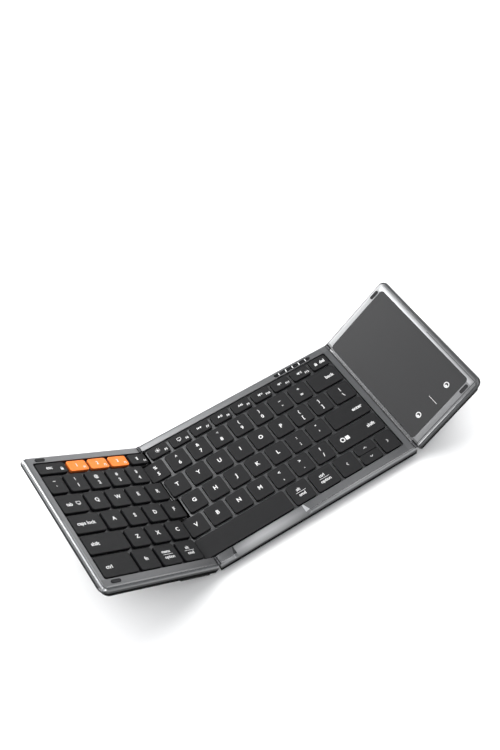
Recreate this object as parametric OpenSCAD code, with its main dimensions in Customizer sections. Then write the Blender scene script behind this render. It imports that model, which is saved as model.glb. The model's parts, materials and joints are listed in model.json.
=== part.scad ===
// Folding wireless keyboard in three panels: a middle panel that stands on the table,
// a left wing with the rest of the keys and a right wing with a touchpad.
// Origin: centre of the standing keyboard's outline, on the table. +X right, +Y back, +Z up.
// Every panel is drawn lying flat about the middle panel's centre. The two wings are then
// turned up about their hinges, and the whole is moved onto the origin.

/* [Panels] */
// Distance between the two hinge axes
hinge_span = 176; // [170:1:186]
// Depth of every panel, front to back
panel_depth = 121.1; // [119:0.1:127]
// Width of the left wing, from its hinge axis to its outer edge
left_wing_w = 105; // [98:1:110]
// Width of the right wing, from its hinge axis to its outer edge
right_wing_w = 70; // [60:1:76]
// Angle by which the left wing is raised from flat
left_raise = 35.25; // [0:0.25:90]
// Angle by which the right wing is raised from flat
right_raise = 40.5; // [0:0.25:90]

/* [Thickness] */
// Height of the rubber feet
foot_h = 2.0; // [1.4:0.1:2.4]
// Height of the bottom cover's side
cover_h = 3.6; // [3.2:0.1:4.2]
// Height of the top case's side, up to the rail
case_h = 3.4; // [3.2:0.1:4.4]
// Depth of the key deck below the rail
deck_drop = 2.0; // [1.6:0.1:2.2]
// Thickness of the key deck
deck_t = 0.8; // [0.6:0.1:1]
// Height of the hinge axis above the rail
axis_lift = 0.25; // [0.2:0.05:0.5]

/* [Edges] */
// Radius of the wings' outer corners, seen from above
corner_r = 5.5; // [4.5:0.5:9]
// Radius of the case's rounded upper edge
edge_r = 2.9; // [2:0.1:3.1]
// Gap between two panels that lie flat
seam_gap = 0.6; // [0.3:0.1:0.7]
// Wall thickness of the top case
case_wall = 2.2; // [1.8:0.1:2.4]
// How far the bottom cover stands in from the case's front and back
cover_inset = 0.1; // [0:0.05:0.4]
// How far the bottom cover stands in from a wing's outer edge
cover_end_inset = 4.0; // [3:0.1:4.4]
// Radius of the bottom cover's lower edge
cover_edge_r = 0.6; // [0.4:0.1:1]
// Thickness of the bottom cover's floor
cover_floor = 1.0; // [0.9:0.1:1.2]
// Radius of a wing's lower corner beside the hinge
hinge_corner_r = 2.0; // [1:0.5:4]

/* [Key field] */
// Distance from one letter key to the next, left to right
key_pitch = 18.6; // [18:0.1:19]
// Depth of the function row
f_row_depth = 12; // [11.5:0.1:12.5]
// Depth of the space bar's row
bottom_row_depth = 19.8; // [18:0.1:20]
// Depth of the rail behind the keys
back_rail = 6.8; // [6.6:0.1:7.4]
// Depth of the rail in front of the keys
front_rail = 8.9; // [8.4:0.1:12]
// Width of the left wing's outer rail
outer_rail = 6.8; // [6.6:0.1:9]
// Width of the rail between the last key and the right hinge
right_rail = 6.2; // [5.6:0.1:8]
// Gap between neighbouring key caps
key_gap = 2.4; // [2.2:0.1:2.6]
// Gap between a key cap and the edge of its well
key_clear = 0.3; // [0.2:0.05:0.4]
// Corner radius of a key cap
key_r = 1.8; // [1:0.1:2.4]
// Travel of a key
key_travel = 1.5; // [1:0.1:1.6]
// Height of a key cap's top above the rail
key_lift = 0.05; // [0:0.05:0.1]
// Depth of a key cap's skirt below the deck
key_sink = 0.3; // [0.1:0.05:0.4]
// Wall of a key cap's skirt
key_wall = 1.1; // [0.8:0.1:1.3]
// Thickness of a key cap's top
key_roof = 0.9; // [0.7:0.1:1]

/* [Under the keys] */
// Thickness of the steel key plate
plate_t = 0.4; // [0.3:0.1:0.5]
// Thickness of the rubber dome sheet
sheet_t = 0.4; // [0.3:0.1:0.5]
// Radius of a rubber dome
dome_r = 2.6; // [1.8:0.1:2.8]

/* [Hinges] */
// Radius of a hinge barrel
barrel_r = 1.05; // [0.9:0.05:1.1]
// Radius of a hinge pin
pin_r = 0.5; // [0.4:0.05:0.6]
// Length of the back hinge
back_hinge_len = 5.1; // [4.5:0.1:5.2]
// Length of the front hinge
front_hinge_len = 6.3; // [5:0.1:7]
// Reach of a hinge leaf into its panel
leaf_len = 9; // [6:0.5:12]

/* [Front and back rails] */
// Length of the thumb scoop in the front rail
scoop_len = 65.5; // [50:0.5:70]
// Centre of the thumb scoop, left of the middle
scoop_x = -42.4; // [-44:0.1:-36]
// Depth of the thumb scoop at its inner edge
scoop_drop = 0.5; // [0.3:0.1:0.8]
// Slope of the thumb scoop's floor towards the front
scoop_tilt = 8; // [4:0.5:10]
// Length of the indicator window
window_len = 34.3; // [28:0.1:36]
// Width of the indicator window
window_w = 2.8; // [2:0.1:3]
// Distance from the right hinge to the centre of the indicator window
window_offset = 35.4; // [34:0.1:38]
// Length of a closing bumper
bumper_len = 8.2; // [6:0.1:9]
// Width of a closing bumper
bumper_w = 2.6; // [2:0.1:2.7]
// Height of a closing bumper above the rail
bumper_rise = 0.4; // [0.2:0.05:0.4]

/* [Touchpad] */
// Distance from the right hinge axis to the touchpad
pad_offset = 2.2; // [2:0.1:3]
// Width of the right wing's outer rail
pad_rail = 6.3; // [5.5:0.1:8]
// Thickness of the touchpad plate
pad_t = 1.5; // [1.2:0.1:1.6]
// Gap around the touchpad
pad_clear = 0.25; // [0.2:0.05:0.4]
// Click travel at the touchpad's front edge
pad_travel = 0.4; // [0.2:0.05:0.5]

/* [Electronics] */
// Battery width, depth and height
battery_size = [44, 40, 3.2];
// Centre of the charging socket, right of the middle
socket_x = 12; // [5:1:25]
// Centre of the power switch's knob, left of the middle
knob_x = -10.2; // [-20:0.1:-8]
// Travel of the power switch's knob
knob_travel = 3; // [2:0.5:3]

/* [Hidden] */
$fn = 48;

// Colours of the real pieces
metal_grey = [0.62, 0.63, 0.65];
cover_black = [0.06, 0.06, 0.07];
key_grey = [0.21, 0.21, 0.22];
key_orange = [0.97, 0.55, 0.28];
pad_grey = [0.34, 0.34, 0.35];
rubber_black = [0.03, 0.03, 0.03];
steel = [0.75, 0.76, 0.78];
board_green = [0.05, 0.3, 0.16];
sheet_white = [0.82, 0.83, 0.82];
amber = [0.8, 0.5, 0.2];

// Heights above the table, with the panels flat
cover_z = foot_h;
floor_z = cover_z + cover_floor;
case_z = cover_z + cover_h;
rail_z = case_z + case_h;
deck_z = rail_z - deck_drop;
axis_z = rail_z + axis_lift;
key_top_z = rail_z + key_lift;
skirt_z = deck_z - key_sink;
pressed_z = skirt_z - key_travel;
sheet_z = pressed_z - sheet_t - 0.2;
plate_z = sheet_z - plate_t;
sheet_top_z = sheet_z + sheet_t;
dome_h = key_top_z - key_roof - key_travel - sheet_top_z - 0.1;
above = 2;

// Places in the panels
hinge_x = hinge_span / 2;
half_depth = panel_depth / 2;
half_gap = seam_gap / 2;
left_field = left_wing_w - outer_rail;
cavity_y = half_depth - case_wall;
end_wall = cover_end_inset + case_wall;
cavity_top_z = deck_z - deck_t;

// Rows are counted from the back: 1 is the function row and 6 the space bar's row
row_count = 6;
letter_rows = row_count - 2;
row_pitch = (panel_depth - back_rail - front_rail - f_row_depth - bottom_row_depth)
    / letter_rows;
function row_back(r) =
    half_depth - back_rail - (r > 1 ? f_row_depth + (r - 2) * row_pitch : 0);
function row_front(r) = r < row_count ? row_back(r + 1) : row_back(r) - bottom_row_depth;
field_front = row_front(row_count);
field_back = row_back(1);

// Where each row's keys part at the left hinge, right of the axis, and the width of the
// first key on each side of that line
row_seam = [2.8, -7.1, -0.2, 3.5, -6.0, -7.2];
left_first_w = [18.8, 18.4, 18.2, 18.1, 17.9, 19.7];
left_keys = [5, 5, 5, 5, 4, 4];
middle_first_w = [18.8, 18.3, 18.3, 18.0, 17.9];
middle_keys = [9, 9, 9, 8, 8, 6];
// Widths of the five keys right of the space bar
bottom_widths = [19.8, 22.7, 19.5, 19.5, 16.7];
arrow_cell = 4;
half_key_gap = 0.4;
wide_pitch = 19.75;

function sum_from(list, k) = k < len(list) ? list[k] + sum_from(list, k + 1) : 0;
function left_pitch(r) = r == row_count ? wide_pitch : key_pitch;

// Line k of row r, counted from the hinge: its distance left of the left hinge axis
function left_line(r, k) =
    k == 0 ? -row_seam[r - 1]
    : k == left_keys[r - 1] ? left_field
    : left_first_w[r - 1] - row_seam[r - 1] + (k - 1) * left_pitch(r);
// Key k of row r on the left wing, counted from the hinge, as [low x, high x]
function left_cell(r, k) = [-hinge_x - left_line(r, k + 1), -hinge_x - left_line(r, k)];

// Line k of row r on the middle panel, counted from the left hinge
function middle_line(r, k) =
    k == 0 ? row_seam[r - 1] - hinge_x
    : k == middle_keys[r - 1] ? hinge_x - right_rail
    : r == row_count ? hinge_x - right_rail - sum_from(bottom_widths, k - 1)
    : row_seam[r - 1] - hinge_x + middle_first_w[r - 1] + (k - 1) * key_pitch;
function middle_cell(r, k) = [middle_line(r, k), middle_line(r, k + 1)];

// Rows whose first middle key stands out over the left wing, and the two rows whose last
// wing key stands out over the middle panel
middle_teeth = [2, 5, 6];
wing_teeth = [1, 4];
tooth_lip = 0.9;
tooth_foot = 1;
tab_lip = 0.5;
tooth_gap = 0.3;
tooth_side = 0.15;
tab_t = 1.4;
axis_over_deck = axis_z - deck_z;
well_margin = key_gap / 2 - key_clear;
function tooth_reach(r) = -row_seam[r - 1] - well_margin + tooth_lip;
function tooth_r(r) = norm([tooth_reach(r), axis_over_deck]);
function tab_reach(r) = row_seam[r - 1] - well_margin + tab_lip;
function tab_swing(r) = norm([tab_reach(r), axis_over_deck + tab_t]);

// Solid blocks of the cases beside the hinges
middle_block = 4.4;
left_block = max([for (r = middle_teeth) tooth_r(r)]) + tooth_gap + 0.4;
right_block = 1.6;
plate_clear = 0.1;

// Hinge places along Y, as [low y, high y], and the slot that frees the barrels
back_inset = 1.7;
front_inset = 1.75;
back_hinge = [half_depth - back_inset - back_hinge_len, half_depth - back_inset];
front_hinge = [-half_depth + front_inset, -half_depth + front_inset + front_hinge_len];
hinges = [back_hinge, front_hinge];
knuckle_gap = 0.1;
slot_half = barrel_r + 0.4;
slot_side = 0.15;
leaf_t = 1.8;
leaf_top_z = axis_z - barrel_r - 0.8;
leaf_clear = 0.1;
pin_clear = 0.02;

// Cover screws
screw_r = 0.8;
screw_head_r = 1.5;
screw_head_h = 0.55;
screw_sink = 0.05;
post_r = 1.8;
screw_top_z = cavity_top_z - 0.6;
screw_inset = 4.1;
screw_offset = 14;
left_end_screw = 13;
right_end_screw = 9;
middle_screw_x = [screw_offset - hinge_x, hinge_x - screw_offset];
left_screw_x = [-hinge_x - screw_offset, -hinge_x - left_wing_w + left_end_screw];
right_screw_x = [hinge_x + screw_offset, hinge_x + right_wing_w - right_end_screw];

// Feet, as [low x, high x]
foot_w = 4;
foot_inset = 2.8;
edge_foot_inset = 0.8;
right_foot_inset = 1.3;
foot_len = 36;
foot_offset = 12;
left_foot_len = 29;
left_foot_offset = 4;
left_end_foot_len = 18;
left_end_foot = 9;
right_foot_len = 7.5;
right_foot_offset = 11.5;
right_end_foot_len = 30;
right_end_foot = 13;
middle_foot_x = [[foot_offset - hinge_x, foot_offset + foot_len - hinge_x],
    [hinge_x - foot_offset - foot_len, hinge_x - foot_offset]];
left_end = -hinge_x - left_wing_w;
left_foot_x = [[-hinge_x - left_foot_offset - left_foot_len, -hinge_x - left_foot_offset],
    [left_end + left_end_foot, left_end + left_end_foot + left_end_foot_len]];
right_end = hinge_x + right_wing_w;
right_foot_x = [[hinge_x + right_foot_offset, hinge_x + right_foot_offset + right_foot_len],
    [right_end - right_end_foot - right_end_foot_len, right_end - right_end_foot]];
foot_r = 1.5;

// Closing bumpers
bumper_sink = 0.8;
bumper_clear = 0.1;
left_bumper_inset = 14.5;
right_bumper_inset = 13.4;
back_bumper_inset = 4.4;
front_bumper_inset = 6.3;
left_bumper_x = left_bumper_inset - hinge_x - left_wing_w;
right_bumper_x = hinge_x + right_wing_w - right_bumper_inset;
back_bumper_y = half_depth - back_bumper_inset;
front_bumper_y = front_bumper_inset - half_depth;

// Touchpad
pad_x0 = hinge_x + pad_offset;
pad_x1 = hinge_x + right_wing_w - pad_rail;
pad_y0 = field_front;
pad_y1 = field_back;
pad_r = 2.5;
pad_top_z = rail_z - 0.05;
pad_z = pad_top_z - pad_t;
pad_ledge_z = pad_z - pad_travel - 0.1;
pad_ledge = 2;
pad_rest_gap = 0.05;
pad_pivot_r = 0.6;
pad_pivot_y = pad_y1 - 1.1;
pad_pivot_z = pad_z - 0.35;
pad_pivot_len = 8;
pad_pivot_x = 16;
board_t = 0.8;
pad_board_z = pad_z - board_t;
pad_board_margin = 7;
click_r = 2;
click_h = 0.9;
click_y = pad_y0 + 12;
click_x = (pad_x0 + pad_x1) / 2;

// Main board and what is on it
main_board_t = 0.6;
main_board_end = 6;
main_board_inset = 18;
main_board_side = 1;
main_board_back = 2.4;
main_board_x = [knob_x - main_board_end, hinge_x - main_board_inset];
main_board_y = [row_back(2) + main_board_side, half_depth - main_board_back];
chip_w = 6;
chip_h = 0.5;
chip_x = [20, 36];
chip_inset = 2;
lamp_size = [1.2, 0.8, 0.5];
switch_half = 2.8;
switch_y0 = field_back + 0.4;
switch_gap = 1.2;
board_top_z = floor_z + main_board_t;
lamp_pitch = 6.3;
lamp_count = 5;
window_inset = 4.5;
window_x = hinge_x - window_offset;
window_y = half_depth - window_inset;
socket_w = 8.94;
socket_h = 3.2;
socket_len = 5.6;
socket_wall = 0.35;
socket_clear = 0.15;
socket_y1 = half_depth - 0.1;
socket_y0 = socket_y1 - socket_len;
knob_w = 3;
knob_h = 1.4;
knob_rise = 0.75;
knob_z = board_top_z + 0.8;
knob_clear = 0.15;
knob_lip = 0.6;
ribbon_t = 0.15;
ribbon_w = 5;
ribbon_gap = 2;
ribbon_y = [row_back(2) - ribbon_gap - ribbon_w, row_back(2) - ribbon_gap];
ribbon_end = 1;
rib_t = 1.2;

// How far a wing of width w reaches out from its hinge axis when it is raised by an angle
function wing_reach(w, angle) = max(
    w * cos(angle) + (axis_z - case_z) * sin(angle),
    (w - edge_r) * cos(angle) + (axis_z - rail_z + edge_r) * sin(angle) + edge_r,
    (w - cover_end_inset - cover_edge_r) * cos(angle)
        + (axis_z - cover_z - cover_edge_r) * sin(angle) + cover_edge_r);
origin_x = (wing_reach(right_wing_w, right_raise) - wing_reach(left_wing_w, left_raise)) / 2;
origin_y = knob_rise / 2;

// ---------------------------------------------------------------- helpers

module on_table() translate([-origin_x, -origin_y, 0]) children();

// A wing drawn flat, turned up about its hinge axis
module raise_left()
    on_table() translate([-hinge_x, 0, axis_z]) rotate([0, left_raise, 0])
        translate([hinge_x, 0, -axis_z]) children();
module raise_right()
    on_table() translate([hinge_x, 0, axis_z]) rotate([0, -right_raise, 0])
        translate([-hinge_x, 0, -axis_z]) children();

// A flat outline with rounded corners between two corners
module rounded_rect(low, high, r) {
    size = high - low;
    translate(low + [r, 0]) square([size.x - 2 * r, size.y]);
    translate(low + [0, r]) square([size.x, size.y - 2 * r]);
    for (x = [low.x + r, high.x - r], y = [low.y + r, high.y - r])
        translate([x, y]) circle(r);
}

module rounded_block(low, high, r, z0, z1)
    translate([0, 0, z0]) linear_extrude(z1 - z0) rounded_rect(low, high, r);

module block(low, high) translate(low) cube(high - low);

// A cylinder along Y at the left or right hinge axis
module axis_rod(x, y0, y1, r)
    translate([x, y1, axis_z]) rotate([90, 0, 0]) cylinder(h = y1 - y0, r = r);

// Side of a panel in section: height h, reach w from the middle, upper edge rounded by e
module half_section(w, h, e) {
    square([w - e, h]);
    square([w, h - e]);
    translate([w - e, h - e]) intersection() {
        circle(e);
        square(e);
    }
}

module panel_section(w, h, e) {
    half_section(w, h, e);
    mirror([1, 0]) half_section(w, h, e);
}

// A straight run of panel along X
module panel_run(x0, x1, w, h, e)
    translate([x0, 0, 0]) rotate([90, 0, 90]) linear_extrude(x1 - x0) panel_section(w, h, e);

// A wing seen from its hinge at x = 0 to its outer edge at x = reach, its lower face at z = 0
module wing_body(reach, w, h, c, e) {
    panel_run(half_gap, reach - c, w, h, e);
    translate([reach - c, w - c, 0]) rotate([90, 0, 0]) linear_extrude(2 * (w - c))
        half_section(c, h, e);
    for (s = [0, 1]) mirror([0, s, 0])
        translate([reach - c, w - c, 0]) rotate_extrude(angle = 90) half_section(c, h, e);
}

// The same with the rounded edge below, for a cover
module wing_tray(reach, w, h, c, e)
    translate([0, 0, h]) mirror([0, 0, 1]) wing_body(reach, w, h, c, e);

module on_left() translate([-hinge_x, 0, 0]) mirror([1, 0, 0]) children();
module on_right() translate([hinge_x, 0, 0]) children();

// What rounds off a wing's lower corner beside the hinge
module hinge_corner(side)
    translate([side * hinge_x, 0, cover_z]) difference() {
        block([-1, -half_depth - 1, -1],
            [half_gap + hinge_corner_r, half_depth + 1, hinge_corner_r]);
        translate([half_gap + hinge_corner_r, half_depth + 1, hinge_corner_r])
            rotate([90, 0, 0]) cylinder(h = panel_depth + 2, r = hinge_corner_r);
    }

// Wells for the keys of one row
module well(cell, r, grow = key_clear) {
    inset = key_gap / 2 - grow;
    rounded_block([cell[0] + inset, row_front(r) + inset], [cell[1] - inset, row_back(r) - inset],
        key_r + grow, sheet_top_z, rail_z + above);
}

module left_wells()
    for (r = [1:row_count], k = [0:left_keys[r - 1] - 1]) well(left_cell(r, k), r);
module middle_wells()
    for (r = [1:row_count], k = [0:middle_keys[r - 1] - 1]) well(middle_cell(r, k), r);

// Slots that free the barrels at one hinge line, and pockets for the leaves on one side
module hinge_slots(x)
    for (h = hinges)
        block([x - slot_half, h[0] - slot_side, leaf_top_z],
            [x + slot_half, h[1] + slot_side, rail_z + above]);
module leaf_pockets(x, side)
    for (h = hinges) {
        reach = leaf_len + leaf_clear;
        block([min(x, x + side * reach), h[0] - slot_side, case_z - leaf_clear],
            [max(x, x + side * reach), h[1] + slot_side, leaf_top_z + leaf_clear]);
    }

module at_screws(xs)
    for (x = xs, y = [-half_depth + screw_inset, half_depth - screw_inset])
        translate([x, y, 0]) children();
// A case with a bored post for every screw
module with_posts(xs)
    difference() {
        union() {
            children();
            at_screws(xs) translate([0, 0, floor_z])
                cylinder(h = cavity_top_z - floor_z, r = post_r);
        }
        at_screws(xs) translate([0, 0, floor_z - 1])
            cylinder(h = screw_top_z - floor_z + 1.1, r = screw_r + pin_clear);
    }
module screw_ways(xs)
    at_screws(xs) translate([0, 0, cover_z - 1]) {
        cylinder(h = cover_floor + 2, r = screw_r + 0.1);
        cylinder(h = 1 + screw_sink + screw_head_h, r = screw_head_r + 0.15);
    }
module screws(xs)
    at_screws(xs) translate([0, 0, cover_z + screw_sink]) {
        cylinder(h = screw_head_h, r = screw_head_r);
        cylinder(h = screw_top_z - cover_z - screw_sink, r = screw_r);
    }

module feet(spans, insets)
    for (i = [0:len(spans) - 1], side = [0, 1]) mirror([0, side, 0])
        rounded_block([spans[i][0], half_depth - insets[i] - foot_w],
            [spans[i][1], half_depth - insets[i]], foot_r, 0, foot_h);

module bumper_pill(x, y, grow, z0, z1)
    rounded_block([x - bumper_len / 2 - grow, y - bumper_w / 2 - grow],
        [x + bumper_len / 2 + grow, y + bumper_w / 2 + grow], bumper_w / 2 + grow - 0.01, z0, z1);
module bumpers(x)
    for (y = [front_bumper_y, back_bumper_y])
        bumper_pill(x, y, 0, rail_z - bumper_sink, rail_z + bumper_rise);
module bumper_seats(x)
    for (y = [front_bumper_y, back_bumper_y])
        bumper_pill(x, y, bumper_clear, rail_z - bumper_sink, rail_z + above);

// ---------------------------------------------------------------- middle panel

module middle_tooth(r)
    intersection() {
        axis_rod(-hinge_x, row_front(r) + tooth_side, row_back(r) - tooth_side, tooth_r(r));
        block([-hinge_x - tooth_r(r), -half_depth, plate_z],
            [-hinge_x + tooth_foot, half_depth, deck_z]);
    }

// Room in the cover for the part of a tooth that reaches below the case
module tooth_room(r)
    block([-hinge_x - 1, row_front(r), plate_z - plate_clear],
        [-hinge_x + tooth_foot + plate_clear, row_back(r), rail_z]);

module wing_tab_room(r)
    block([-hinge_x - 1, row_front(r) - tooth_side, axis_z - tab_swing(r) - tooth_gap],
        [-hinge_x + tab_reach(r) + tooth_gap, row_back(r) + tooth_side, rail_z + above]);

// Thumb scoop: a shallow tray with sloped ends that falls away to the front
module scoop() {
    half = scoop_len / 2;
    depth = above;
    ramp = 2.6;
    translate([scoop_x, field_front + 0.2, rail_z - scoop_drop]) rotate([scoop_tilt, 0, 0])
        rotate([90, 0, 0]) linear_extrude(2 * half_depth)
            polygon([[-half + ramp, 0], [half - ramp, 0], [half - ramp + ramp * depth, depth],
                [-half + ramp - ramp * depth, depth]]);
}

module window_slot(grow, z0, z1)
    rounded_block([window_x - window_len / 2 - grow, window_y - window_w / 2 - grow],
        [window_x + window_len / 2 + grow, window_y + window_w / 2 + grow],
        window_w / 2 + grow - 0.01, z0, z1);

// Openings for the charging socket and the power switch, in the case and the cover
module back_openings() {
    block([socket_x - socket_w / 2 - socket_clear, socket_y0 - socket_clear,
            board_top_z - socket_clear],
        [socket_x + socket_w / 2 + socket_clear, half_depth + 1,
            board_top_z + socket_h + socket_clear]);
    block([knob_x - knob_w / 2 - knob_clear, cavity_y - 1, knob_z - knob_clear],
        [knob_x + knob_w / 2 + knob_travel + knob_clear, half_depth + 1,
            knob_z + knob_h + knob_clear]);
}

module middle_top_case()
    on_table() color(metal_grey) with_posts(middle_screw_x)
        difference() {
            union() {
                translate([0, 0, case_z])
                    panel_run(-hinge_x + half_gap, hinge_x - half_gap, half_depth, case_h, edge_r);
                for (r = middle_teeth) middle_tooth(r);
            }
            rounded_block([-hinge_x - 20, field_front], [hinge_x - right_rail, field_back],
                key_r, deck_z, rail_z + above);
            block([-hinge_x + middle_block, -cavity_y, case_z - 1],
                [hinge_x - middle_block, cavity_y, cavity_top_z]);
            middle_wells();
            for (r = wing_teeth) wing_tab_room(r);
            hinge_slots(-hinge_x);
            hinge_slots(hinge_x);
            leaf_pockets(-hinge_x, 1);
            leaf_pockets(hinge_x, -1);
            scoop();
            window_slot(bumper_clear, cavity_top_z - 1, rail_z + above);
            back_openings();
        }

module middle_bottom_cover()
    on_table() color(cover_black) {
        cover_half = half_depth - cover_inset;
        rib_x = [for (i = [-1.5:1:1.5]) i * hinge_span / 4.4];
        difference() {
            translate([0, 0, cover_z + cover_h]) mirror([0, 0, 1])
                panel_run(-hinge_x + half_gap, hinge_x - half_gap, cover_half, cover_h,
                    cover_edge_r);
            block([-hinge_x + middle_block, -cavity_y, floor_z],
                [hinge_x - middle_block, cavity_y, case_z + 1]);
            middle_wells();
            for (r = middle_teeth) tooth_room(r);
            for (r = wing_teeth) wing_tab_room(r);
            screw_ways(middle_screw_x);
            leaf_pockets(-hinge_x, 1);
            leaf_pockets(hinge_x, -1);
            back_openings();
        }
        for (x = rib_x)
            block([x - rib_t / 2, field_front + 2, floor_z],
                [x + rib_t / 2, ribbon_y[0] - 1, plate_z]);
    }

module middle_sheet_area(z0, z1)
    block([-hinge_x + middle_block + plate_clear, field_front, z0],
        [hinge_x - middle_block - plate_clear, field_back, z1]);

module middle_key_plate() on_table() color(steel) middle_sheet_area(plate_z, sheet_z);

// Rubber domes are drawn as low as a pressed key leaves them
module dome(cell, r, shift = 0)
    translate([(cell[0] + cell[1]) / 2, (row_front(r) + row_back(r)) / 2 + shift, sheet_top_z])
        cylinder(h = dome_h, r = dome_r);

module middle_dome_sheet()
    on_table() color(sheet_white) {
        middle_sheet_area(sheet_z, sheet_top_z);
        for (r = [1:row_count], k = [0:middle_keys[r - 1] - 1])
            if (r < row_count || k != arrow_cell) dome(middle_cell(r, k), r);
        for (side = [-1, 1])
            dome(middle_cell(row_count, arrow_cell), row_count,
                side * (bottom_row_depth - key_gap) / 4);
    }

module middle_feet() on_table() color(rubber_black) feet(middle_foot_x, [foot_inset, foot_inset]);
module middle_screws() on_table() color(steel) screws(middle_screw_x);

module main_board()
    on_table() color(board_green) {
        block([main_board_x[0], main_board_y[0], floor_z],
            [main_board_x[1], main_board_y[1], board_top_z]);
        for (x = chip_x)
            translate([x, main_board_y[0] + chip_inset, board_top_z])
                cube([chip_w, chip_w, chip_h]);
        for (i = [0:lamp_count - 1])
            translate([window_x + (i - (lamp_count - 1) / 2) * lamp_pitch - lamp_size.x / 2,
                window_y - lamp_size.y / 2, board_top_z]) cube(lamp_size);
        block([knob_x - switch_half, switch_y0, board_top_z],
            [knob_x + switch_half + knob_travel, cavity_y - switch_gap,
                knob_z + knob_h + knob_lip / 2]);
    }

module charging_socket()
    on_table() color(steel) {
        y0 = socket_y0;
        y1 = socket_y1;
        z1 = board_top_z + socket_h;
        difference() {
            translate([socket_x, y1, 0]) rotate([90, 0, 0]) linear_extrude(socket_len)
                rounded_rect([-socket_w / 2, board_top_z], [socket_w / 2, z1], 1.2);
            translate([socket_x, y1 + 1, 0]) rotate([90, 0, 0]) linear_extrude(socket_len)
                rounded_rect([-socket_w / 2 + socket_wall, board_top_z + socket_wall],
                    [socket_w / 2 - socket_wall, z1 - socket_wall], 1.2 - socket_wall);
        }
        block([socket_x - 3.3, y0 + 0.5, board_top_z + socket_h / 2 - 0.35],
            [socket_x + 3.3, y1 - 0.8, board_top_z + socket_h / 2 + 0.35]);
    }

module indicator_window()
    on_table() color(cover_black) {
        window_slot(0, cavity_top_z + 0.1, rail_z);
        for (i = [0:lamp_count - 1])
            translate([window_x + (i - (lamp_count - 1) / 2) * lamp_pitch, window_y,
                board_top_z + 0.6])
                cylinder(h = cavity_top_z - board_top_z - 0.4, r = 0.6);
    }

module power_switch_knob()
    on_table() color(cover_black) {
        block([knob_x - knob_w / 2, cavity_y - 0.6, knob_z],
            [knob_x + knob_w / 2, half_depth + knob_rise, knob_z + knob_h]);
        block([knob_x - knob_w / 2 - knob_lip, cavity_y - 1, knob_z - knob_lip / 2],
            [knob_x + knob_w / 2 + knob_lip, cavity_y - 0.2, knob_z + knob_h + knob_lip / 2]);
    }

module flex_cables()
    on_table() color(amber) {
        left = main_board_x[0] + ribbon_end;
        right = main_board_x[1] - ribbon_end;
        top = floor_z + ribbon_t;
        block([-hinge_x + middle_block + plate_clear, ribbon_y[0], floor_z],
            [left + ribbon_w, ribbon_y[1], top]);
        block([left, ribbon_y[1], floor_z], [left + ribbon_w, main_board_y[0], top]);
        block([right - ribbon_w, ribbon_y[0], floor_z],
            [hinge_x - middle_block - plate_clear, ribbon_y[1], top]);
        block([right - ribbon_w, ribbon_y[1], floor_z], [right, main_board_y[0], top]);
    }

// ---------------------------------------------------------------- hinges

// Each hinge has three knuckles: the outer two turn with the wing
function knuckle(h, i) = [h[0] + i * (h[1] - h[0]) / 3 + (i > 0 ? knuckle_gap / 2 : 0),
    h[0] + (i + 1) * (h[1] - h[0]) / 3 - (i < 2 ? knuckle_gap / 2 : 0)];

// Barrels on their arms and the leaf that holds them, on one side of one hinge axis
module hinge_leaf(x, side, h, which)
    difference() {
        union() {
            for (i = which) {
                y = knuckle(h, i);
                axis_rod(x, y[0], y[1], barrel_r);
                block([min(x, x + side * barrel_r), y[0], leaf_top_z - 0.5],
                    [max(x, x + side * barrel_r), y[1], axis_z]);
            }
            block([min(x + side * half_gap, x + side * leaf_len), h[0], leaf_top_z - leaf_t],
                [max(x + side * half_gap, x + side * leaf_len), h[1], leaf_top_z]);
        }
        axis_rod(x, h[0] - 1, h[1] + 1, pin_r + pin_clear);
    }

module middle_hinge_leaves()
    on_table() color(steel) for (h = hinges) {
        hinge_leaf(-hinge_x, 1, h, [1]);
        hinge_leaf(hinge_x, -1, h, [1]);
    }
module left_hinge_leaves()
    raise_left() color(steel) for (h = hinges) hinge_leaf(-hinge_x, -1, h, [0, 2]);
module right_hinge_leaves()
    raise_right() color(steel) for (h = hinges) hinge_leaf(hinge_x, 1, h, [0, 2]);
module hinge_pins()
    on_table() color(steel) for (x = [-hinge_x, hinge_x], h = hinges) axis_rod(x, h[0], h[1], pin_r);

// ---------------------------------------------------------------- left wing

module left_tab(r)
    block([-hinge_x - left_block, row_front(r) + tooth_side, deck_z - tab_t],
        [-hinge_x + tab_reach(r), row_back(r) - tooth_side, deck_z]);

module left_notches()
    for (r = middle_teeth)
        axis_rod(-hinge_x, row_front(r) - tooth_side, row_back(r) + tooth_side,
            tooth_r(r) + tooth_gap);

module left_top_case()
    raise_left() color(metal_grey) with_posts(left_screw_x)
        difference() {
            union() {
                on_left() translate([0, 0, case_z])
                    wing_body(left_wing_w, half_depth, case_h, corner_r, edge_r);
                for (r = wing_teeth) left_tab(r);
            }
            rounded_block([-hinge_x - left_field, field_front], [-hinge_x + 20, field_back],
                key_r, deck_z, rail_z + above);
            block([-hinge_x - left_wing_w + end_wall, -cavity_y, case_z - 1],
                [-hinge_x - left_block, cavity_y, cavity_top_z]);
            left_wells();
            left_notches();
            hinge_slots(-hinge_x);
            leaf_pockets(-hinge_x, -1);
            on_left() translate([-hinge_x, 0, 0]) hinge_corner(1);
            bumper_seats(left_bumper_x);
        }

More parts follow.
